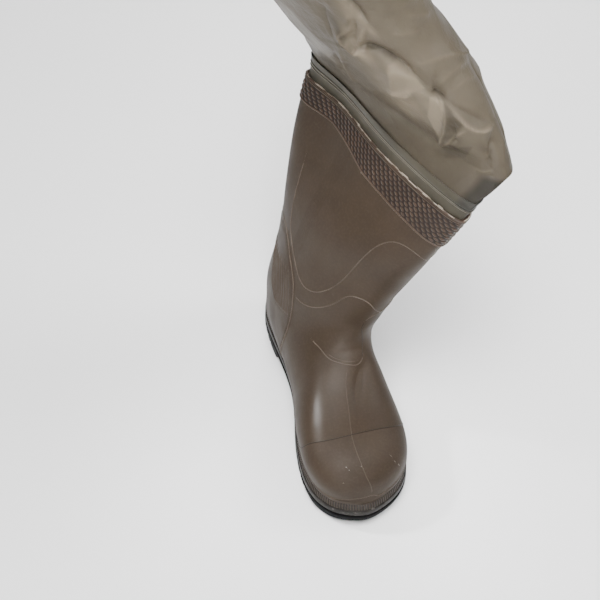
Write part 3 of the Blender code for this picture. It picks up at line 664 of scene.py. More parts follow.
def unit(vectors):
    """Vectors at length 1; those without length stay."""
    length = np.linalg.norm(vectors, axis=-1, keepdims=True)
    return vectors / np.where(length > NO_LENGTH, length, 1.0)


def run_length(points):
    """Way along the first axis of points, from 0."""
    steps = np.linalg.norm(np.diff(points, axis=0), axis=-1)
    return np.concatenate([np.zeros_like(steps[:1]), np.cumsum(steps, axis=0)])


def spread(points, share):
    """Points at the given shares of the length of a line."""
    reach = run_length(points)
    return np.column_stack([np.interp(share * reach[-1], reach, axis) for axis in points.T])


def stations(spans):
    """Rising places through spans of first, last and count."""
    return np.unique(np.concatenate([np.linspace(*span) for span in spans]))


def smooth_step(value):
    """0 below 0, 1 above 1, with a soft rise between."""
    value = np.clip(value, 0.0, 1.0)
    return value * value * (3.0 - 2.0 * value)


def soft_edge(value, width):
    """Soft step from 0 to 1, half way where the value is 0."""
    return smooth_step(value / width + 0.5)


def window(value, start, fade_in, end, fade_out):
    """1 between start and end, with a soft fade inside each."""
    return smooth_step((value - start) / fade_in) * smooth_step((end - value) / fade_out)


def run_out(share, fade):
    """1 along a line, falling softly to 0 at both its ends."""
    return smooth_step(np.minimum(share, 1.0 - share) / fade)


def bell(value):
    """Soft hump: 1 at 0 and close to 0 past 2."""
    return np.exp(-(value ** 2))


def bead(distance, half_width):
    """Round bead of height 1 over a distance from its middle."""
    return np.sqrt(np.clip(1.0 - (distance / half_width) ** 2, 0.0, 1.0))


def seat_z(along):
    """Height of the sole's upper face."""
    rows = np.array(SEAT)
    along = np.asarray(along, float)
    places = np.clip(along.ravel(), 0.0, rows[-1, 0])
    return spline(rows[:, 0], rows[:, 1:], places)[:, 0].reshape(along.shape)


def tread_z(plan):
    """Height of the sole's lowest face with its bent grooves."""
    rows = np.array(TREAD)
    swept = np.abs(plan[..., 0]) / GROOVE_REACH * GROOVE_SWEEP
    away = np.min([np.abs(plan[..., 1] - (along - swept)) for along in GROOVES], axis=0)
    groove = GROOVE_DEPTH * soft_edge(0.5 * GROOVE_WIDTH - away, GROOVE_EDGE)
    return np.interp(plan[..., 1], rows[:, 0], rows[:, 1]) + groove


def inward(ring):
    """Steps of length 1 to the inside of a closed plan, square to its line."""
    run = unit(np.roll(ring, -1, 0) - np.roll(ring, 1, 0))
    return np.column_stack([-run[:, 1], run[:, 0]])


def sole_edge(inset):
    """Closed plan of the sole edge drawn in by inset, from the heel by the outer side."""
    outer = [(row.lateral, row.along) for row in SOLE]
    inner = [(-row.medial, row.along) for row in SOLE[1:-1]]
    loop = np.array(outer + inner[::-1])
    wrap = 4
    points = np.vstack([loop[-wrap:], loop, loop[:wrap + 1]])
    reach = run_length(points)
    at = np.linspace(reach[wrap], reach[wrap + len(loop)], EDGE_POINTS, endpoint=False)
    edge = spline(reach, points, at)
    return edge + inset * inward(edge)


def sole_sides(inset):
    """Outer and inner side of the drawn-in edge, each from the heel point to the toe point."""
    edge = sole_edge(inset)
    edge = np.roll(edge, -int(np.argmin(edge[:, 1])), 0)
    toe = int(np.argmax(edge[:, 1]))
    outer = edge[:toe + 1]
    inner = np.vstack([edge[toe:], edge[:1]])[::-1]
    return outer, inner


def sole_stations(inset, count):
    """Outer and inner side of the drawn-in edge as evenly spread stations."""
    return [spread(side, np.linspace(0.0, 1.0, count)) for side in sole_sides(inset)]


def sole_ring(inset, count):
    """Ring of x and u stations, evenly spread along both sides of the drawn-in edge."""
    outer, inner = sole_stations(inset, count)
    return np.vstack([outer, inner[-2:0:-1]])


def sole_plan(inset, count, across):
    """Plan of the drawn-in sole: stations along it by points from the outer to the inner side."""
    outer, inner = sole_stations(inset, count)
    share = np.linspace(0.0, 1.0, across + 1)[None, :, None]
    return outer[:, None] * (1.0 - share) + inner[:, None] * share


def lifted(plan, z):
    """Points of a plan at the given heights."""
    return np.concatenate([plan, z[..., None]], -1)


def seat_reach(along):
    """Where the upper stands on the sole: x on the inner and the outer side."""
    outer, inner = sole_sides(UPPER_INSET)
    return [float(np.interp(along, side[:, 1], side[:, 0])) for side in (inner, outer)]


def open_row(x, u, z, seat_u, medial, lateral, widest, crown, heel, twist, bend):
    """Row of a section that stands on the sole, its reach to both sides as half widths."""
    seat_x = 0.5 * sum(seat_reach(seat_u))
    middle = seat_x + (x - seat_x) * (1.0 - widest) ** bend
    ends = (x, u, z, seat_x, seat_u, float(seat_z(seat_u)) + SKIRT)
    return np.array((*ends, medial + middle, lateral - middle, widest, crown, heel, twist, 0.0, bend, 0.0))


def foot_row(row):
    """Row of an upright section of the foot, which swells over its seat line."""
    low, high = seat_reach(row.along)
    return open_row(row.ridge_x, row.along, row.ridge_z, row.along, row.swell - low, row.swell + high,
                    row.widest, row.crown, FOOT_HEEL, 0.0, 1.0)


def ring_row(row):
    """Row of a closed ring."""
    return np.array((*row[:RING_ENDS], RING_WIDEST, *row[RING_ENDS:]))


def hollow_share(deep):
    """How far the pressed-in inner side goes in at each depth from the front, as a share."""
    span = 1.0 - HOLLOW_START
    power = math.log(0.5) / math.log((HOLLOW_DEEPEST - HOLLOW_START) / span)
    reach = np.clip((deep - HOLLOW_START) / span, 0.0, 1.0)
    return np.sin(math.pi * reach ** power) ** 2


def half_section(row, side, stands):
    """One side of a section as a fine line, from the ridge or front to the seat or back."""
    front = row[0:3]
    back = row[3:6]
    medial, lateral, widest, crown, heel, twist, drop, bend, hollow = row[6:]
    half = medial if side < 0 else lateral
    seat = abs(seat_reach(back[1])[0 if side < 0 else 1] - back[0]) if stands else 0.0
    angle = np.linspace(0.0, math.pi / 2, SECTION_POINTS)
    upper_deep = widest * (1.0 - np.clip(np.cos(angle), 0.0, 1.0) ** (2.0 / crown))
    upper_wide = half * np.sin(angle) ** (2.0 / crown)
    lower_deep = widest + (1.0 - widest) * np.sin(angle) ** (2.0 / heel)
    lower_wide = seat + (half - seat) * np.clip(np.cos(angle), 0.0, 1.0) ** (2.0 / heel)
    deep = np.concatenate([upper_deep, lower_deep[1:]])[:, None]
    wide = np.concatenate([upper_wide, lower_wide[1:]])[:, None]
    if side < 0:
        wide = wide - hollow * hollow_share(deep)
    line = front + (back - front) * deep
    line[:, 0:1] = back[0] + (front[0] - back[0]) * (1.0 - deep) ** bend
    line[:, 2:3] -= 4.0 * drop * deep * (1.0 - deep)
    turn = math.radians(twist) * (1.0 - deep if stands else np.ones_like(deep))
    return line + side * wide * np.hstack([np.cos(turn), -np.sin(turn), np.zeros_like(turn)])


def seat_line(side, low, high):
    """Seat line of the upper on one side between two stations, toe to heel."""
    line = sole_sides(UPPER_INSET)[0 if side > 0 else 1]
    line = line[(line[:, 1] >= low) & (line[:, 1] <= high)][::-1]
    return lifted(line, seat_z(line[:, 1]) + SKIRT)


def both_sides(columns, last, line_of):
    """Points of a row at its columns, from a line for each side that ends at the last column."""
    points = np.zeros((len(columns), 3))
    for side, chosen in ((-1, columns <= 0), (1, columns > 0)):
        points[chosen] = spread(line_of(side), np.clip(np.abs(columns[chosen]) / last, 0.0, 1.0))
    return points


def section(row, columns, stands=False):
    """Points of one section: column 0 is the ridge or front, the ends are the seat or back."""
    last = SEAT_COLUMN if stands else 1.0
    return both_sides(columns, last, lambda side: half_section(row, side, stands))


def toe_row(columns):
    """First row of the upper: the seat line round the tip of the toe."""
    return both_sides(columns, SEAT_COLUMN, lambda side: seat_line(side, TOE_ARC_U, math.inf))


def heel_row(columns):
    """Row that comes down to the seat at the side of the heel and follows it round the back."""
    points = section(open_row(*HEEL_ROW), columns, stands=True)
    for side in (-1, 1):
        chosen = columns * side > SEAT_COLUMN
        share = (np.abs(columns[chosen]) - SEAT_COLUMN) / (1.0 - SEAT_COLUMN)
        points[chosen] = spread(seat_line(side, 0.0, HEEL_ARC_U), share)
    return points


def upper_grid(at, columns):
    """Outside of the upper at the given row numbers; row 0 is the arc of the toe."""
    rows = [toe_row(columns)]
    rows += [section(foot_row(row), columns, stands=True) for row in FOOT]
    rows += [section(open_row(*row), columns, stands=True) for row in FAN]
    rows += [heel_row(columns)]
    rows += [section(ring_row(row), columns) for row in RINGS + CLOTH[:LEAD_RINGS]]
    rows = np.array(rows)
    knots = np.arange(len(rows))
    grid = lofted(knots, rows, at)
    behind = np.abs(columns) > SEAT_COLUMN + NEAR
    after = at >= FIRST_RING
    grid[np.ix_(after, behind)] = lofted(knots[FIRST_RING:], rows[FIRST_RING:][:, behind], at[after])
    return grid


def drawn_in(ring, inset):
    """Closed ring of points moved towards its inside, square to its own line."""
    loop = ring[:-1]
    run = np.roll(loop, -1, 0) - np.roll(loop, 1, 0)
    facing = np.cross(loop, np.roll(loop, -1, 0)).sum(0)
    moved = loop + inset * unit(np.cross(facing, run))
    return np.vstack([moved, moved[:1]])


def cloth_grid(at, columns, inset=0.0):
    """Cloth at the given row numbers, drawn in by inset; row 0 is the foot of the collar band."""
    rings = RINGS[-BAND_RINGS - LEAD_RINGS:] + CLOTH
    rows = np.array([section(ring_row(row), columns) for row in rings])
    grid = lofted(np.arange(len(rows)) - LEAD_RINGS, rows, at)
    return np.array([drawn_in(ring, inset) for ring in grid]) if inset else grid


def leg_grid(at, columns):
    """Outside of the leg: tucked inside the tape, let out over the rows above it."""
    tucked = cloth_grid(at, columns, CLOTH_INSET - TAPE_PROUD)
    slack = cloth_grid(at, columns)
    ends = np.arange(TAPE_TOP, CORNER_ROW + 2.0)
    rings = cloth_grid(ends, columns)
    for i in np.where((at > ends[0]) & (at < ends[-1]))[0]:
        k = min(int(at[i] - ends[0]), len(ends) - 2)
        straight = rings[k] + (rings[k + 1] - rings[k]) * (at[i] - ends[k])
        slack[i] += (straight - slack[i]) * bell(columns / CORNER_REACH)[:, None]
    out = np.clip((at - TAPE_TOP) / (CORNER_ROW - TAPE_TOP), 0.0, 1.0)[:, None, None]
    return tucked + (slack - tucked) * out


class Surface:
    """Grid of points over rows and columns with outward normals, read between its points."""

    def __init__(self, at, columns, points, closed_from):
        self.at = at
        self.columns = columns
        self.points = points
        normals = np.cross(np.gradient(points, axis=1), np.gradient(points, axis=0))
        closed = at >= closed_from
        ends = normals[closed, 0] + normals[closed, -1]
        normals[closed, 0] = ends
        normals[closed, -1] = ends
        first = int(np.argmax(closed))
        if first > 0:
            heel = np.abs(columns) > SEAT_COLUMN - NEAR
            normals[first, heel] = normals[first + 1, heel]
        normals = unit(normals)
        outward = points[closed] - points[closed].mean(1, keepdims=True)
        self.normals = normals * np.sign((outward * normals[closed]).sum())

    def read(self, rows, columns):
        """Points and normals at single places."""
        i = np.interp(rows, self.at, np.arange(len(self.at)))
        j = np.interp(columns, self.columns, np.arange(len(self.columns)))
        i0 = np.clip(i.astype(int), 0, len(self.at) - 2)
        j0 = np.clip(j.astype(int), 0, len(self.columns) - 2)
        fi = (i - i0)[..., None]
        fj = (j - j0)[..., None]
        found = []
        for grid in (self.points, self.normals):
            low = grid[i0, j0] * (1.0 - fj) + grid[i0, j0 + 1] * fj
            high = grid[i0 + 1, j0] * (1.0 - fj) + grid[i0 + 1, j0 + 1] * fj
            found.append(low * (1.0 - fi) + high * fi)
        return found[0], unit(found[1])

    def raised(self, height):
        """Points moved out along their normals by one height or by one for each point."""
        return self.points + self.normals * np.asarray(height)[..., None]


def drawn_line(knots, step):
    """Rows and columns along a smooth line through the knots."""
    knots = np.array(knots, float)
    reach = run_length(knots * (1.0, COLUMN_ROWS))
    count = max(LINE_LEAST, int(reach[-1] / step))
    return spline(reach, knots, np.linspace(0.0, reach[-1], count)).T


def mirrored(knots):
    """The same line on the other side."""
    return tuple((row, -column) for row, column in knots)


def grid_faces(rows, count, closed=False, looped=False, first=0):
    """Quads of a grid of rows by count points; closed joins the columns, looped the rows."""
    i = np.arange(rows if looped else rows - 1)[:, None]
    j = np.arange(count if closed else count - 1)[None, :]
    m = (i + 1) % rows
    n = (j + 1) % count
    faces = np.stack([i * count + j, i * count + n, m * count + n, m * count + j], -1)
    return faces.reshape(-1, 4) + first


Sheet = namedtuple("Sheet", "grid turned closed", defaults=(False, False))


def joined(sheets):
    """Points and quads of several grids as one mesh."""
    points, faces, first = [], [], 0
    for sheet in sheets:
        rows, count = sheet.grid.shape[:2]
        quads = grid_faces(rows, count, sheet.closed, first=first)
        points.append(sheet.grid.reshape(-1, 3))
        faces.append(quads[:, ::-1] if sheet.turned else quads)
        first += rows * count
    return np.vstack(points), np.vstack(faces)


def placed(name, data):
    """New object in the scene."""
    thing = bpy.data.objects.new(name, data)
    bpy.context.scene.collection.objects.link(thing)
    return thing


def make(name, points, faces, materials, paint=None):
    """Smooth mesh object from table points in millimetres, moved to the frame of the part."""
    shifted = np.stack([points[:, 0], HEEL_REST - points[:, 1], points[:, 2]], -1) * MM
    mesh = bpy.data.meshes.new(name)
    mesh.from_pydata(shifted.tolist(), [], faces.tolist())
    for material in materials:
        mesh.materials.append(material)
    if paint is not None:
        mesh.polygons.foreach_set("material_index", np.asarray(paint, np.int32))
    mesh.polygons.foreach_set("use_smooth", np.ones(len(mesh.polygons), bool))
    mesh.validate()
    mesh.update()
    return placed(name, mesh)


def make_tube(name, rings, material, looped=False):
    """Mesh of closed rings, whose last column is the first one again."""
    faces = grid_faces(len(rings), rings.shape[1] - 1, closed=True, looped=looped)
    return make(name, rings[:, :-1].reshape(-1, 3), faces, [material])


def mark(thing, name, values):
    """Give each point of a mesh a number that its material reads."""
    layer = thing.data.attributes.new(name, "FLOAT", "POINT")
    layer.data.foreach_set("value", np.asarray(values, np.float32))


def mark_tube(thing, name, values):
    """Give each point of a tube's rings a number that its material reads."""
    mark(thing, name, values[:, :-1].ravel())


def strips(lines):
    """Joined narrow ribbons with a round top: each line is points, normals, half widths and heights."""
    sheets = []
    for place, normal, wide, high in lines:
        side = unit(np.cross(normal, np.gradient(place, axis=0)))
        out = side[:, None] * (STRIP[None, :, :1] * wide[:, None, None])
        up = normal[:, None] * (STRIP[None, :, 1:] * high[:, None, None])
        sheets.append(Sheet(place[:, None] + out + up))
    return joined(sheets)


def line_on(surface, knots, wide, high, fade):
    """One moulded line on a surface, running out softly at both ends."""
    rows, columns = drawn_line(knots, LINE_STEP)
    place, normal = surface.read(rows, columns)
    end = run_out(np.linspace(0.0, 1.0, len(rows)), fade)
    return place, normal, np.full(len(rows), 0.5 * wide), high * end - LINE_SINK * (1.0 - end)


Bump = namedtuple("Bump", "height strength depth")


class Paint:
    """Node material with a few short ways to add noise, colour and bump."""

    def __init__(self, name):
        self.material = bpy.data.materials.new(name)
        self.material.use_nodes = True
        self.tree = self.material.node_tree
        self.shader = self.tree.nodes["Principled BSDF"]
        self.place = self.node("TexCoord").outputs["Object"]

    def feed(self, socket, value):
        """Link a socket to another node's, or set its value."""
        if isinstance(value, bpy.types.NodeSocket):
            self.tree.links.new(value, socket)
        else:
            socket.default_value = value

    def node(self, kind, inputs=(), **settings):
        """New node with its settings, and with inputs as pairs of name or number and value."""
        node = self.tree.nodes.new("ShaderNode" + kind)
        for name, value in settings.items():
            setattr(node, name, value)
        for name, value in inputs:
            self.feed(node.inputs[name], value)
        return node

    def noise(self, scale, detail=4.0, rough=0.55, stretch=None):
        """Cloudy noise from 0 to 1."""
        place = self.place
        if stretch:
            place = self.node("Mapping", (("Vector", place), ("Scale", stretch))).outputs["Vector"]
        inputs = (("Vector", place), ("Scale", scale), ("Detail", detail), ("Roughness", rough))
        return self.node("TexNoise", inputs).outputs["Fac"]

    def cells(self, scale):
        """Distance from the middle of uneven cells: flat sides that meet in creases."""
        bend = self.node("TexNoise", (("Vector", self.place), ("Scale", CELL_BEND_SCALE))).outputs["Color"]
        inputs = ((0, bend), (1, (CELL_BEND, CELL_BEND, CELL_BEND)), (2, self.place))
        shifted = self.node("VectorMath", inputs, operation="MULTIPLY_ADD").outputs[0]
        return self.node("TexVoronoi", (("Vector", shifted), ("Scale", scale))).outputs["Distance"]

    def attribute(self, name):
        """Mark of the mesh."""
        return self.node("Attribute", attribute_name=name).outputs["Fac"]

    def spread(self, source, low, high, to_low=0.0, to_high=1.0):
        """Soft step of a value between two bounds."""
        inputs = (("Value", source), ("From Min", low), ("From Max", high), ("To Min", to_low),
                  ("To Max", to_high))
        return self.node("MapRange", inputs, interpolation_type="SMOOTHSTEP").outputs["Result"]

    def cloud(self, scale, low=0.0, high=1.0, detail=4.0):
        """Soft clouds between two values."""
        return self.spread(self.noise(scale, detail), *SOFT, low, high)

    def math(self, operation, first, second):
        """Sum or product of two values."""
        return self.node("Math", ((0, first), (1, second)), operation=operation).outputs[0]

    def mix(self, share, first, second):
        """Colour between two others, each a fixed colour or another node's."""
        colours = [(*value, 1.0) if isinstance(value, tuple) else value for value in (first, second)]
        inputs = ((MIX_SHARE, share), (MIX_FIRST, colours[0]), (MIX_SECOND, colours[1]))
        return self.node("Mix", inputs, data_type="RGBA").outputs[MIX_RESULT]

    def grain(self, scale, strength):
        """Fine even bump."""
        return Bump(self.noise(scale, detail=3.0, rough=0.6), strength, GRAIN_DEPTH)

    def finish(self, colour, rough, gloss, bumps=()):
        """Material with its colour, roughness, gloss and bumps, each laid over the one before."""
        for name, value in (("Base Color", colour), ("Roughness", rough), ("Specular IOR Level", gloss)):
            self.feed(self.shader.inputs[name], value)
        below = ()
        for bump in bumps:
            inputs = (("Height", bump.height), ("Strength", bump.strength), ("Distance", bump.depth), *below)
            below = (("Normal", self.node("Bump", inputs).outputs["Normal"]),)
        for name, normal in below:
            self.feed(self.shader.inputs[name], normal)
        return self.material


def boot_paint():
    """Satin moulded PVC: fine grain, cloudy tone, pale scuffs where the mesh is marked as worn."""
    paint = Paint("boot_brown_looks")
    cloudy = paint.spread(paint.noise(scale=22.0, detail=3.0), low=0.3, high=0.72)
    speckled = paint.spread(paint.noise(scale=430.0, detail=2.0), low=0.42, high=0.72, to_high=0.24)
    tone = paint.mix(speckled, paint.mix(cloudy, BOOT_DARK, BOOT_BASE), BOOT_SPECKLE)
    rubbed = paint.spread(paint.noise(scale=160.0, detail=6.0, rough=0.65), low=0.6, high=0.72)
    streak = paint.spread(paint.noise(scale=60.0, rough=0.6, stretch=(1.0, 0.35, 1.0)), low=0.5, high=0.66)
    worn = paint.math("MULTIPLY", paint.math("MULTIPLY", rubbed, streak), paint.attribute("worn"))
    rough = paint.math("ADD", paint.cloud(scale=48.0, low=0.48, high=0.56), paint.attribute("rough"))
    deep = paint.spread(paint.attribute("cap"), low=0.0, high=1.0, to_low=0.14, to_high=0.34)
    waves = Bump(paint.noise(scale=14.0, detail=2.0), strength=0.06, depth=0.004)
    bumps = (waves, paint.grain(scale=620.0, strength=deep))
    return paint.finish(paint.mix(worn, tone, BOOT_SCUFF), rough, gloss=0.22, bumps=bumps)


def plain_paint(name):
    """Cloudy tone with an even grain, and pale painted glints where the look gives them."""
    look = PLAIN[name]
    paint = Paint(name)
    tone = paint.mix(paint.cloud(look.cloud), look.dark, look.base)
    if look.speck:
        # Painted glints: pale specks
        glint_share = paint.spread(paint.noise(scale=190.0, detail=6.0, rough=0.65), low=0.57, high=0.68)
        tone = paint.mix(glint_share, tone, look.speck)
    rough = paint.cloud(look.cloud * ROUGH_SCALE, look.rough - ROUGH_VARIES, look.rough + ROUGH_VARIES)
    return paint.finish(tone, rough, look.gloss, [paint.grain(look.grain_scale, look.grain)])


def relief_paint(name):
    """Satin PVC, with painted shade in the gaps of its relief."""
    look = RELIEF[name]
    paint = Paint(name)
    tone = paint.mix(paint.cloud(scale=60.0), look.dark, look.base)
    # Painted shade in the gaps between the bumps and ribs
    tone = paint.mix(paint.spread(paint.attribute("relief"), look.low, look.high), look.gap, tone)
    tone = paint.mix(paint.spread(paint.attribute("rim"), low=0.3, high=0.9), tone, look.rim)
    rough = paint.cloud(scale=90.0, low=0.34, high=0.44)
    return paint.finish(tone, rough, gloss=0.24, bumps=[paint.grain(scale=800.0, strength=0.2)])


def tape_paint():
    """Dull sealing tape: painted highlight on its raised lines, painted shade in its grooves and under the
    cloth's front corner.
    """
    paint = Paint("tape_grey_looks")
    line = paint.attribute("line")
    tone = paint.mix(paint.cloud(scale=30.0), TAPE_DARK, TAPE_BASE)
    # Painted shade in the grooves and painted highlight on the raised lines, by the line mark
    tone = paint.mix(paint.spread(line, low=-0.1, high=-0.5), tone, TAPE_GROOVE_SHADE)
    tone = paint.mix(paint.spread(line, low=0.1, high=0.45), tone, TAPE_RIDGE_HIGHLIGHT)
    # Painted shade under the cloth's front corner
    tone = paint.mix(paint.attribute("painted_shade"), tone, TAPE_PAINTED_SHADE)
    rough = paint.cloud(scale=70.0, low=0.4, high=0.5)
    return paint.finish(tone, rough, gloss=0.25, bumps=[paint.grain(scale=900.0, strength=0.3)])


def cloth_paint():
    """Coated cloth: fine weave, faint crumples, and painted sheen and painted shade where the mesh is
    marked.
    """
    paint = Paint("cloth_olive_looks")
    tone = paint.mix(paint.cloud(scale=16.0), CLOTH_DARK, CLOTH_BASE)
    # Painted sheen where the mesh is marked
    tone = paint.mix(paint.attribute("painted_sheen"), tone, CLOTH_PAINTED_SHEEN)
    # Painted shade where the mesh is marked
    tone = paint.mix(paint.attribute("painted_shade"), tone, CLOTH_PAINTED_SHADE)
    rough = paint.cloud(scale=40.0, low=0.4, high=0.5)
    facets = Bump(paint.cells(scale=24.0), strength=0.26, depth=0.014)
    crumple = Bump(paint.noise(scale=70.0, detail=5.0, rough=0.6), strength=0.3, depth=0.004)
    weave = Bump(paint.noise(scale=1400.0, detail=1.0, rough=0.5), strength=0.25, depth=0.0003)
    return paint.finish(tone, rough, gloss=0.12, bumps=(facets, crumple, weave))


def floor_paint():
    """Pale matt floor."""
    paint = Paint("floor_white")
    tone = paint.mix(paint.noise(scale=3.0, detail=2.0), FLOOR_DARK, FLOOR_BASE)
    rough = paint.cloud(scale=5.0, low=0.7, high=0.8, detail=2.0)
    return paint.finish(tone, rough, FLOOR_GLOSS)


def build_sole(material):
    """Sole with rounded side lines and bent grooves across the tread."""
    rings = []
    for line in SOLE_SIDE:
        plan = sole_ring(line.inset, SOLE_STATIONS)
        low = tread_z(plan)
        rings.append(lifted(plan, low + (seat_z(plan[:, 1]) - low) * line.share))
    bottom = sole_plan(SOLE_SIDE[0].inset, SOLE_STATIONS, SOLE_ACROSS)
    top = sole_plan(SOLE_SIDE[-1].inset, SOLE_STATIONS, SOLE_ACROSS)
    points, faces = joined((
        Sheet(np.array(rings), closed=True),
        Sheet(lifted(bottom, tread_z(bottom))),
        Sheet(lifted(top, seat_z(top[..., 1])), turned=True),
    ))
    return make("boot_sole", points, faces, [material])


def build_welt(ribbed, smooth):
    """Welt with upright ribs over a plain band."""
    ring = sole_ring(RIB_LINE_INSET, WELT_STATIONS)
    reach = run_length(np.vstack([ring, ring[:1]]))
    ribs = round(reach[-1] / RIB_PITCH)
    wave = 0.5 + 0.5 * np.cos(2.0 * math.pi * ribs * reach[:-1] / reach[-1])
    wave = smooth_step(wave * RIB_GAIN + RIB_SHIFT)
    rings = []
    for corner in WELT:
        plan = sole_ring(corner.inset, WELT_STATIONS)
        plan = plan - (corner.rib * wave)[:, None] * inward(plan)
        rings.append(lifted(plan, seat_z(plan[:, 1]) + corner.rise))
    faces = grid_faces(len(rings), len(ring), closed=True, looped=True)
    paint = np.repeat([corner.paint for corner in WELT], len(ring))
    thing = make("boot_welt", np.vstack(rings), faces, [ribbed, smooth], paint)
    plain = np.full(len(ring), PLAIN_RELIEF)
    # The relief mark places the painted shade between the ribs
    mark(thing, "relief", np.concatenate([wave if corner.rib else plain for corner in WELT]))
    return thing


def build_insole(material):
    """Felt insole with rounded edges."""
    plan = sole_plan(INSOLE_INSET, INSOLE_STATIONS, INSOLE_ACROSS)
    base = seat_z(plan[..., 1]) + FIT_GAP
    share = np.linspace(0.0, 1.0, INSOLE_ACROSS + 1)
    wide = np.linalg.norm(plan[:, 0] - plan[:, -1], axis=1)[:, None]
    edge = np.minimum(share, 1.0 - share)[None, :] * wide
    round_off = np.sqrt(np.clip(edge / INSOLE_ROUND, 0.0, 1.0))
    top = base + INSOLE_THICK * (INSOLE_EDGE + (1.0 - INSOLE_EDGE) * round_off)
    points, faces = joined((Sheet(lifted(plan, top), turned=True), Sheet(lifted(plan, base))))
    sides = []
    for column in (0, INSOLE_ACROSS):
        k = np.arange(INSOLE_STATIONS - 1) * len(share) + column
        n = k + len(share)
        sides.append(np.column_stack([k, n, n + base.size, k + base.size]))
    return make("felt_insole", points, np.vstack([faces, *sides]), [material])


def eased(points, at, columns):
    """Even out the turn at the sides of the ankle, where the foot's sections meet the rings."""
    step = at[1] - at[0]
    reach = np.arange(-EASE_STEPS, EASE_STEPS + 1)
    kernel = np.exp(-0.5 * (reach * step / EASE_SPREAD) ** 2)
    numbers = np.arange(len(at))
    soft = np.zeros_like(points)
    for shift, weight in zip(reach, kernel / kernel.sum()):
        soft += weight * points[np.clip(numbers + shift, 0, len(at) - 1)]
    across = np.where(columns > 0.0, EASE_OUTER, 1.0) * window(np.abs(columns), *EASE_COLUMNS)
    along = window(at, *EASE_ROWS)
    return points + (along[:, None] * across[None, :])[..., None] * (soft - points)


def guard_height(at, columns):
    """Step of the heel guard behind its line."""
    line = np.array(GUARD_RISE + (GUARD_SHUT,))
    edge = np.interp(at, line[:, 0], -line[:, 1], left=NO_GUARD, right=NO_GUARD)[:, None]
    return GUARD_RAISE * soft_edge(np.abs(columns)[None, :] - edge, GUARD_EDGE)


def bumper_height(at, points):
    """Step of the toe bumper over the welt."""
    tall = points[..., 2] - seat_z(points[..., 1]) - SKIRT
    front = smooth_step((BUMPER_END - at) / BUMPER_FADE)[:, None]
    return BUMPER_RAISE * smooth_step((BUMPER_TALL - tall) / BUMPER_EDGE) * front


def trough_depth(at, columns):
    """Depth of the soft crease on the vamp beside the centre seam."""
    middle = TROUGH_COLUMN + TROUGH_SLANT * (at - TROUGH_ROW)
    across = bell((columns[None, :] - middle[:, None]) / TROUGH_WIDE)
    return TROUGH_DEEP * across * bell((at - TROUGH_ROW) / TROUGH_LONG)[:, None]


def upper_surface():
    """Fine outside of the upper with its heel guard, toe bumper and vamp crease."""
    half = stations(UPPER_COLUMNS)
    columns = np.concatenate([-half[:0:-1], half])
    at = np.linspace(0.0, COLLAR, FINE_ROWS * COLLAR + 1)
    plain = Surface(at, columns, eased(upper_grid(at, columns), at, columns), FIRST_RING)
    height = guard_height(at, columns) + bumper_height(at, plain.points) - trough_depth(at, columns)
    return Surface(at, columns, plain.raised(height), FIRST_RING)


def inner_surface(columns):
    """Plain inside of the upper's wall."""
    at = np.concatenate([np.arange(0.0, FIRST_RING), np.linspace(FIRST_RING, COLLAR, INSIDE_RINGS)])
    plain = Surface(at, columns, upper_grid(at, columns), FIRST_RING)
    return Surface(at, columns, plain.raised(-UPPER_WALL), FIRST_RING)


def shell_faces(surface):
    """Quads of the upper, open rows up to the heel and closed rings above, and its lower edge."""
    at, columns = surface.at, surface.columns
    count = len(columns)
    number = np.arange(len(at) * count).reshape(len(at), count)
    rings = at >= FIRST_RING - NEAR
    number[rings, -1] = number[rings, 0]
    inside = np.abs(columns) <= SEAT_COLUMN + NEAR
    faces = []
    for i in range(len(at) - 1):
        quads = np.column_stack([number[i, :-1], number[i, 1:], number[i + 1, 1:], number[i + 1, :-1]])
        if not rings[i]:
            quads = quads[inside[:-1] & inside[1:]]
        faces.append(quads)
    heel = int(np.argmax(rings))
    right = int(np.argmin(np.abs(columns - SEAT_COLUMN)))
    left = int(np.argmin(np.abs(columns + SEAT_COLUMN)))
    loop = np.concatenate([number[0, left:right], number[:heel, right], number[heel, right:-1],
                           number[heel, :left], number[heel:0:-1, left]])
    return np.vstack(faces), loop


def dents_filled(points, faces, loop, dents):
    """Even out the wall round the two low corners, where the foot's sections meet the heel's first ring."""
    away = np.min([np.linalg.norm(points - dent, axis=1) for dent in dents], axis=0)
    share = smooth_step((DENT_REACH - away) / DENT_FADE)
    edges = np.vstack([faces[:, pair] for pair in ((0, 1), (1, 2), (2, 3), (3, 0))])
    edges = np.unique(np.sort(edges[(share[edges] > 0.0).any(1)], axis=1), axis=0)
    start, end = np.concatenate([edges, edges[:, ::-1]]).T
    count = np.maximum(np.bincount(start, minlength=len(points)), 1)
    points = points.copy()
    for _ in range(DENT_ROUNDS):
        sums = [np.bincount(start, axis[end], len(points)) for axis in points.T]
        mean = np.column_stack(sums) / count[:, None]
        mean[loop] = 0.5 * (points[np.roll(loop, 1)] + points[np.roll(loop, -1)])
        points += DENT_STEP * share[:, None] * (mean - points)
    return points


def skirt_below(points, loop, first, after):
    """Points under an open lower edge, down on the sole, and the quads between the two."""
    skirt = points[loop].copy()
    skirt[:, 2] = seat_z(skirt[:, 1]) + FIT_GAP
    edge = first + loop
    foot = after + np.arange(len(loop))
    return skirt, np.column_stack([edge, np.roll(edge, -1), np.roll(foot, -1), foot])


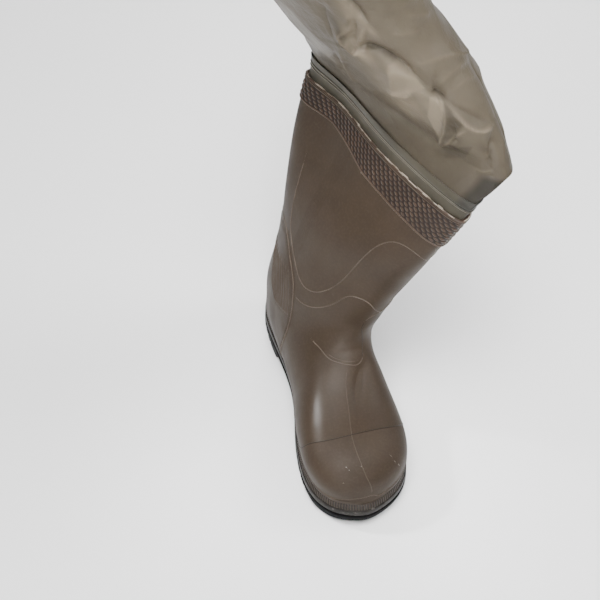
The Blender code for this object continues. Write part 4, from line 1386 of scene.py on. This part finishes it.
def upper_marks(surface):
    """Where the upper is toe cap, how worn it is, and how much duller or glossier than elsewhere."""
    at = surface.at[:, None]
    away = np.abs(surface.columns)[None, :]
    line = np.array(CAP_FRONT)
    front = np.interp(surface.columns, line[:, 1], line[:, 0], left=NO_CAP_LINE, right=NO_CAP_LINE)
    cap = np.where(away < CAP_SIDE, soft_edge(front[None, :] - at, CAP_EDGE), at < CAP_BACK)
    worn = smooth_step((WORN_BACK - at) / WORN_FADE) * smooth_step((away - WORN_COLUMN) / WORN_SPREAD)
    polish = patches(surface.at, surface.columns, POLISH)
    return {"cap": cap, "worn": worn + WORN_LEAST, "rough": CAP_ROUGH * cap - polish * (1.0 - cap)}


def build_upper(surface, material):
    """Outside with its skirt down to the sole, and the plain inside of the wall."""
    faces, loop = shell_faces(surface)
    dents = surface.read(np.full(2, FIRST_RING), np.array((-SEAT_COLUMN, SEAT_COLUMN)))[0]
    outside = dents_filled(surface.points.reshape(-1, 3), faces, loop, dents)
    first = len(outside)
    skirt, band = skirt_below(outside, loop, 0, first)
    inner = inner_surface(surface.columns[::INSIDE_THIN])
    inner_faces, inner_loop = shell_faces(inner)
    inside = inner.points.reshape(-1, 3)
    second = first + len(skirt)
    inner_skirt, inner_band = skirt_below(inside, inner_loop, second, second + len(inside))
    points = np.vstack([outside, skirt, inside, inner_skirt])
    quads = np.vstack([faces, band, inner_faces[:, ::-1] + second, inner_band[:, TURNED]])
    used = np.unique(quads)
    renumber = np.zeros(len(points), int)
    renumber[used] = np.arange(len(used))
    thing = make("boot_upper", points[used], renumber[quads], [material])
    for name, values in upper_marks(surface).items():
        marks = np.zeros(len(points))
        marks[:first] = values.ravel()
        mark(thing, name, marks[used])
    return thing


def guard_ribs():
    """Upright ribs of the heel guard, which spread out upwards behind its line."""
    flank = np.array(GUARD_FLANK)
    ribs = []
    for rib in range(GUARD_RIBS):
        low, high, low_gap, high_gap = (value.first + value.step * rib for value in RIB_FAN)
        rows = np.linspace(low, high, RIB_KNOTS)
        columns = np.interp(rows, flank[:, 0], flank[:, 1]) - np.linspace(low_gap, high_gap, RIB_KNOTS)
        ribs.append((FAINT, tuple(zip(rows, columns)), RIB_WIDE, RIB_HIGH, RIB_FADE, True))
    return table(LINE_COLUMNS, *ribs)


def build_lines(surface, materials):
    """Moulded lines, the ribs of the heel guard and the scratches as one joined mesh."""
    scratches = [(BARE, row.knots, row.wide, SCRATCH_HIGH, SCRATCH_FADE, False) for row in SCRATCHES]
    lines, paint = [], []
    for line in LINES + guard_ribs() + table(LINE_COLUMNS, *scratches):
        ways = (line.knots, mirrored(line.knots)) if line.both else (line.knots,)
        for knots in ways:
            lines.append(line_on(surface, knots, line.wide, line.high, line.fade))
            paint.append(np.full((len(lines[-1][0]) - 1) * (len(STRIP) - 1), line.tone))
    return make("moulded_lines", *strips(lines), materials, np.concatenate(paint))


def band_height(along, up, full):
    """Height of the collar band's relief over the plain wall."""
    height = BAND_RAISE * smooth_step(up / BAND_EDGE)
    height = height + FOOT_RIM.high * bead(up - FOOT_RIM.middle, FOOT_RIM.half)
    for rim in (TOP_RIM, LIP_RIM):
        height = height + rim.high * bead(up - (full - rim.middle), rim.half)
    field = window(up, FIELD_LOW, FIELD_FADE, full - FIELD_HIGH, FIELD_FADE)
    cos, sin = math.cos(math.radians(BUMP_TILT)), math.sin(math.radians(BUMP_TILT))
    best = np.zeros_like(up)
    nearest = np.round((up - BUMP_FIRST) / BUMP_ROWS)
    for line in (nearest - 1, nearest, nearest + 1):
        shift = 0.5 * BUMP_PITCH * np.mod(line, 2.0)
        closest = np.round((along - shift) / BUMP_PITCH)
        for place in (closest - 1, closest, closest + 1):
            da = along - shift - place * BUMP_PITCH
            du = up - BUMP_FIRST - line * BUMP_ROWS
            long = (da * cos + du * sin) / BUMP_LONG
            wide = (du * cos - da * sin) / BUMP_WIDE
            uneven = BUMP_MEAN + BUMP_VARIES * np.sin(BUMP_PHASES[0] * line + BUMP_PHASES[1] * place)
            best = np.maximum(best, uneven * np.clip(1.0 - long ** 2 - wide ** 2, 0.0, 1.0) ** BUMP_ROUND)
    return height + BUMP_RAISE * field * best


def build_band(material):
    """Raised collar band with its slanting bumps, its rims and the turned-in top edge."""
    columns = np.linspace(-1.0, 1.0, BAND_COLUMNS)
    at = np.linspace(BAND_START, COLLAR, BAND_ROWS)
    surface = Surface(at, columns, upper_grid(at, columns), BAND_START)
    foot = np.array(BAND_FOOT)
    low = np.interp(np.abs(columns), foot[:, 0], foot[:, 1])
    share = np.linspace(0.0, 1.0, BAND_STEPS)
    rows = low[None, :] + (COLLAR - low)[None, :] * share[:, None]
    place, normal = surface.read(rows, np.broadcast_to(columns, rows.shape))
    up = run_length(place)
    reach = run_length(place.swapaxes(0, 1)).T
    along = np.abs(reach - reach[:, BAND_COLUMNS // 2][:, None])
    relief = band_height(along, up, up[-1:])
    tail = unit(place[-1] - place[-2])
    lip = np.array([place[-1] - tail * turn.drop + normal[-1] * turn.out for turn in BAND_LIP])
    thing = make_tube("collar_band", np.concatenate([place + normal * relief[..., None], lip]), material)
    shown = np.concatenate([relief, np.full(lip.shape[:2], BAND_RAISE + LIP_RELIEF)])
    # The relief mark places the painted shade between the bumps
    mark_tube(thing, "relief", shown / (BAND_RAISE + BUMP_RAISE))
    pale = np.maximum(bead(up - FOOT_RIM.middle, FOOT_RIM_PALE),
                      bead(up - (up[-1:] - TOP_RIM.middle), TOP_RIM_PALE))
    mark_tube(thing, "rim", np.concatenate([pale, np.full(lip.shape[:2], LIP_PALE)]))
    return thing


def build_glue_and_rim_highlight(material):
    """Broken pale line of glue on the collar's rim, over one thin pale bead that is a painted highlight
    along the rim's edge.
    """
    columns = np.linspace(-1.0, 1.0, GLUE_COLUMNS)
    at = np.linspace(*GLUE_ROWS)
    surface = Surface(at, columns, upper_grid(at, columns), at[0])
    lines = []
    for number, piece in enumerate(GLUE):
        count = max(GLUE_LEAST, int(abs(piece.last - piece.first) * GLUE_STEPS))
        along = np.linspace(piece.first, piece.last, count)
        ripple = np.sin(along * GLUE_WAVE + number) + np.sin(along * GLUE_SWELL + 2.0 * number)
        place, normal = surface.read(COLLAR + GLUE_OVER + GLUE_RIPPLE * ripple, along)
        end = run_out(np.linspace(0.0, 1.0, count), GLUE_FADE)
        uneven = 1.0 + GLUE_UNEVEN * np.sin(along * GLUE_KNOBS + 3.0 * number)
        half = GLUE_HALF * piece.wide * uneven * (GLUE_END + (1.0 - GLUE_END) * end)
        lines.append((place - normal * GLUE_SINK, normal, half, GLUE_HIGH * end))
    # Painted highlight: one thin pale bead all round the rim's edge
    along = np.linspace(-1.0, 1.0, BEAD_STEPS)
    place, normal = surface.read(COLLAR + BEAD_OVER + BEAD_RIPPLE * np.sin(along * GLUE_WAVE), along)
    half = BEAD_HALF + BEAD_UNEVEN * np.sin(along * BEAD_WAVE)
    lines.append((place + normal * BEAD_OUT, normal, half, np.full(BEAD_STEPS, BEAD_HIGH)))
    return make("rim_glue_and_highlight", *strips(lines), [material])


def build_tape(material):
    """Seam tape over the joint, with fine raised lines."""
    columns = np.linspace(-1.0, 1.0, TAPE_COLUMNS)
    at = np.linspace(1.0 - OVERLAP_ROWS, TAPE_TOP, TAPE_ROWS)
    surface = Surface(at, columns, cloth_grid(at, columns, TAPE_INSET - TAPE_PROUD), at[0])
    height = sum(line.high * bell((at - line.row) / line.half) for line in TAPE_LINES)
    outside = surface.raised(height[:, None])
    edge = outside[-1:] - surface.normals[-1:] * TAPE_THICK
    inside = surface.raised(-TAPE_THICK)[-TAPE_TURN:-1][::-1]
    rings = np.concatenate([outside, edge, inside])
    thing = make_tube("seam_tape", rings, material)
    line = np.concatenate([height, np.zeros(TAPE_TURN)])
    mark_tube(thing, "line", np.broadcast_to(line[:, None], rings.shape[:2]))
    # Only the painted shade under the cloth's front corner reaches the tape
    painted_shade = shade_share(np.concatenate([at, np.full(TAPE_TURN, TAPE_TOP)]), columns) - TAPE_SHADE_START
    mark_tube(thing, "painted_shade", np.clip(painted_shade, 0.0, TAPE_SHADE_MOST) * TAPE_SHADE_GAIN)
    return thing


def fold_shape(surface, fold):
    """Height that one fold adds at each point of the cloth, and how close the point is to its crease."""
    place, normal = surface.read(*drawn_line(fold.knots, FOLD_STEP))
    side = unit(np.cross(normal, np.gradient(place, axis=0)))
    points = surface.points.reshape(-1, 3)
    reach = FOLD_FAR * max(fold.left, fold.right)
    near = np.where(((points > place.min(0) - reach) & (points < place.max(0) + reach)).all(1))[0]
    away = points[near][:, None] - place[None]
    gaps = np.linalg.norm(away, axis=2)
    best = gaps.argmin(1)
    k = np.arange(len(near))
    gap = gaps[k, best]
    across = (away[k, best] * side[best]).sum(1)
    width = np.where(across > 0.0, fold.left, fold.right)
    end = FOLD_END + (1.0 - FOLD_END) * run_out(best / (len(place) - 1.0), FOLD_FADE)
    height = np.zeros(len(points))
    height[near] = fold.height * end * np.exp(-((gap / width) ** FOLD_POWER))
    crease = np.zeros(len(points))
    crease[near] = min(abs(fold.height) / CREASE_FULL, 1.0) * end * bell(gap / CREASE_REACH)
    shape = surface.points.shape[:2]
    return height.reshape(shape), crease.reshape(shape)


def shade_share(at, columns):
    """Painted shade on the cloth and its tape: low down, and most under the front corner."""
    low = LOW_SHADE * smooth_step((LOW_SHADE_TOP - at) / LOW_SHADE_FADE)[:, None]
    under = window(at, *CORNER_SHADE_ROWS)[:, None] * window(columns, *CORNER_SHADE_COLUMNS)[None, :]
    return np.maximum(low, under)


def patches(at, columns, spots):
    """Soft areas of a table, laid over one another."""
    total = np.zeros((len(at), len(columns)))
    for spot in spots:
        along = bell((at - spot.row) / spot.tall)[:, None]
        across = bell((columns - spot.column) / spot.wide)[None, :]
        total = np.maximum(total, spot.share * along * across)
    return total


def facet_share(at, columns, corners):
    """1 inside the corners of a facet and 0 outside, with a soft edge."""
    across, up = np.meshgrid(columns * COLUMN_SPAN, at * ROW_SPAN)
    places = np.array(corners)[:, ::-1] * (COLUMN_SPAN, ROW_SPAN)
    inside = np.zeros(across.shape, bool)
    gap = np.full(across.shape, np.inf)
    for (ax, ay), (bx, by) in zip(places, np.roll(places, -1, axis=0)):
        run = ((across - ax) * (bx - ax) + (up - ay) * (by - ay)) / ((bx - ax) ** 2 + (by - ay) ** 2)
        run = np.clip(run, 0.0, 1.0)
        gap = np.minimum(gap, np.hypot(across - ax - run * (bx - ax), up - ay - run * (by - ay)))
        if ay != by:
            inside ^= ((ay > up) != (by > up)) & (across < ax + (up - ay) / (by - ay) * (bx - ax))
    return soft_edge(np.where(inside, gap, -gap), FACET_EDGE)


def build_leg(material):
    """Slack cloth leg with its listed folds and the plain hem at the top."""
    columns = stations(LEG_COLUMNS)
    at = stations(LEG_ROWS)
    surface = Surface(at, columns, leg_grid(at, columns), at[0])
    shapes = [fold_shape(surface, fold) for fold in FOLDS]
    ridge = np.max([crease for (_, crease), fold in zip(shapes, FOLDS) if fold.height > 0.0], axis=0)
    valley = np.max([crease for (_, crease), fold in zip(shapes, FOLDS) if fold.height < 0.0], axis=0)
    height = FOLD_GAIN * sum(height for height, _ in shapes) * window(at, *LOOSE_ROWS)[:, None]
    hem = (HEM_THICK - CLOTH_THICK) * smooth_step((at - (LEG_TOP - HEM_FOOT)) / HEM_STEP)
    outside = surface.raised(height + hem[:, None])
    inside = Surface(at, columns, outside, at[0]).raised(-CLOTH_THICK)
    thing = make_tube("cloth_leg", np.concatenate([outside, inside[::-1]]), material, looped=True)
    # Painted shade: low down, under the front corner, in the shade spots and along the fold valleys
    painted_shade = np.maximum(np.maximum(shade_share(at, columns), patches(at, columns, SHADE_SPOTS)), VALLEY_PAINTED_SHADE * valley)
    # Painted sheen in the sheen spots and along the fold ridges
    painted_sheen = np.maximum(patches(at, columns, SHEEN_SPOTS), RIDGE_PAINTED_SHEEN * ridge)
    # Facets of positive strength add painted sheen, those of negative strength painted shade
    for facet in FACETS:
        area = facet.strength * facet_share(at, columns, facet.corners)
        painted_sheen = np.maximum(painted_sheen, area)
        painted_shade = np.maximum(painted_shade, -area)
    for name, values in (("painted_shade", painted_shade), ("painted_sheen", painted_sheen)):
        mark_tube(thing, name, np.concatenate([values, values[::-1]]))
    return thing


def look_at(thing, place, target):
    """Place a lamp or camera and turn it to a target."""
    thing.location = place
    thing.rotation_euler = (Vector(target) - Vector(place)).to_track_quat("-Z", "Y").to_euler()


def build_stage():
    """Pale floor, soft boxes, dim white surroundings and the camera of the photo."""
    mesh = bpy.data.meshes.new("floor")
    corners = [(x * FLOOR_REACH, y * FLOOR_REACH, 0.0) for x, y in ((-1, -1), (1, -1), (1, 1), (-1, 1))]
    mesh.from_pydata(corners, [], [(0, 1, 2, 3)])
    mesh.materials.append(floor_paint())
    placed("floor", mesh)
    sky = bpy.data.worlds.new("surroundings")
    sky.use_nodes = True
    background = sky.node_tree.nodes["Background"]
    background.inputs["Color"].default_value = SKY_COLOUR
    background.inputs["Strength"].default_value = SKY_STRENGTH
    bpy.context.scene.world = sky
    for row in LAMPS:
        light = bpy.data.lights.new(row.name, "AREA")
        light.shape = "SQUARE"
        light.size = row.size
        light.energy = row.power
        light.spread = math.radians(row.beam)
        look_at(placed(row.name, light), row.place, row.target)
    data = bpy.data.cameras.new("photo_camera")
    data.lens = CAMERA_LENS
    data.sensor_width = CAMERA_SENSOR
    camera = placed("photo_camera", data)
    look_at(camera, CAMERA_PLACE, CAMERA_TARGET)
    bpy.context.scene.camera = camera


def main():
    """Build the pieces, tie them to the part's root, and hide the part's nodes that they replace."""
    surface = upper_surface()
    leg = build_leg(cloth_paint())
    pieces = (
        (build_upper(surface, boot_paint()), "boot_brown", "upper"),
        (build_lines(surface, [plain_paint(name) for name in LINE_PAINTS]), "boot_brown", None),
        (build_band(relief_paint("band_brown")), "boot_brown", None),
        (build_welt(relief_paint("welt_brown"), plain_paint("welt_edge")), "foxing_brown", "welt"),
        (build_sole(plain_paint("sole_black_looks")), "sole_black", "outsole"),
        (build_insole(plain_paint("insole_felt")), "insole_grey", "insole"),
        (build_tape(tape_paint()), "tape_grey", "joint_tape"),
        (build_glue_and_rim_highlight(plain_paint("glue_and_rim_highlight")), "tape_grey", None),
        (leg, "cloth_olive", "leg"),
    )
    for thing, slot, node in pieces:
        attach(thing, "root")
        if node:
            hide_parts(node)
    build_stage()


main()
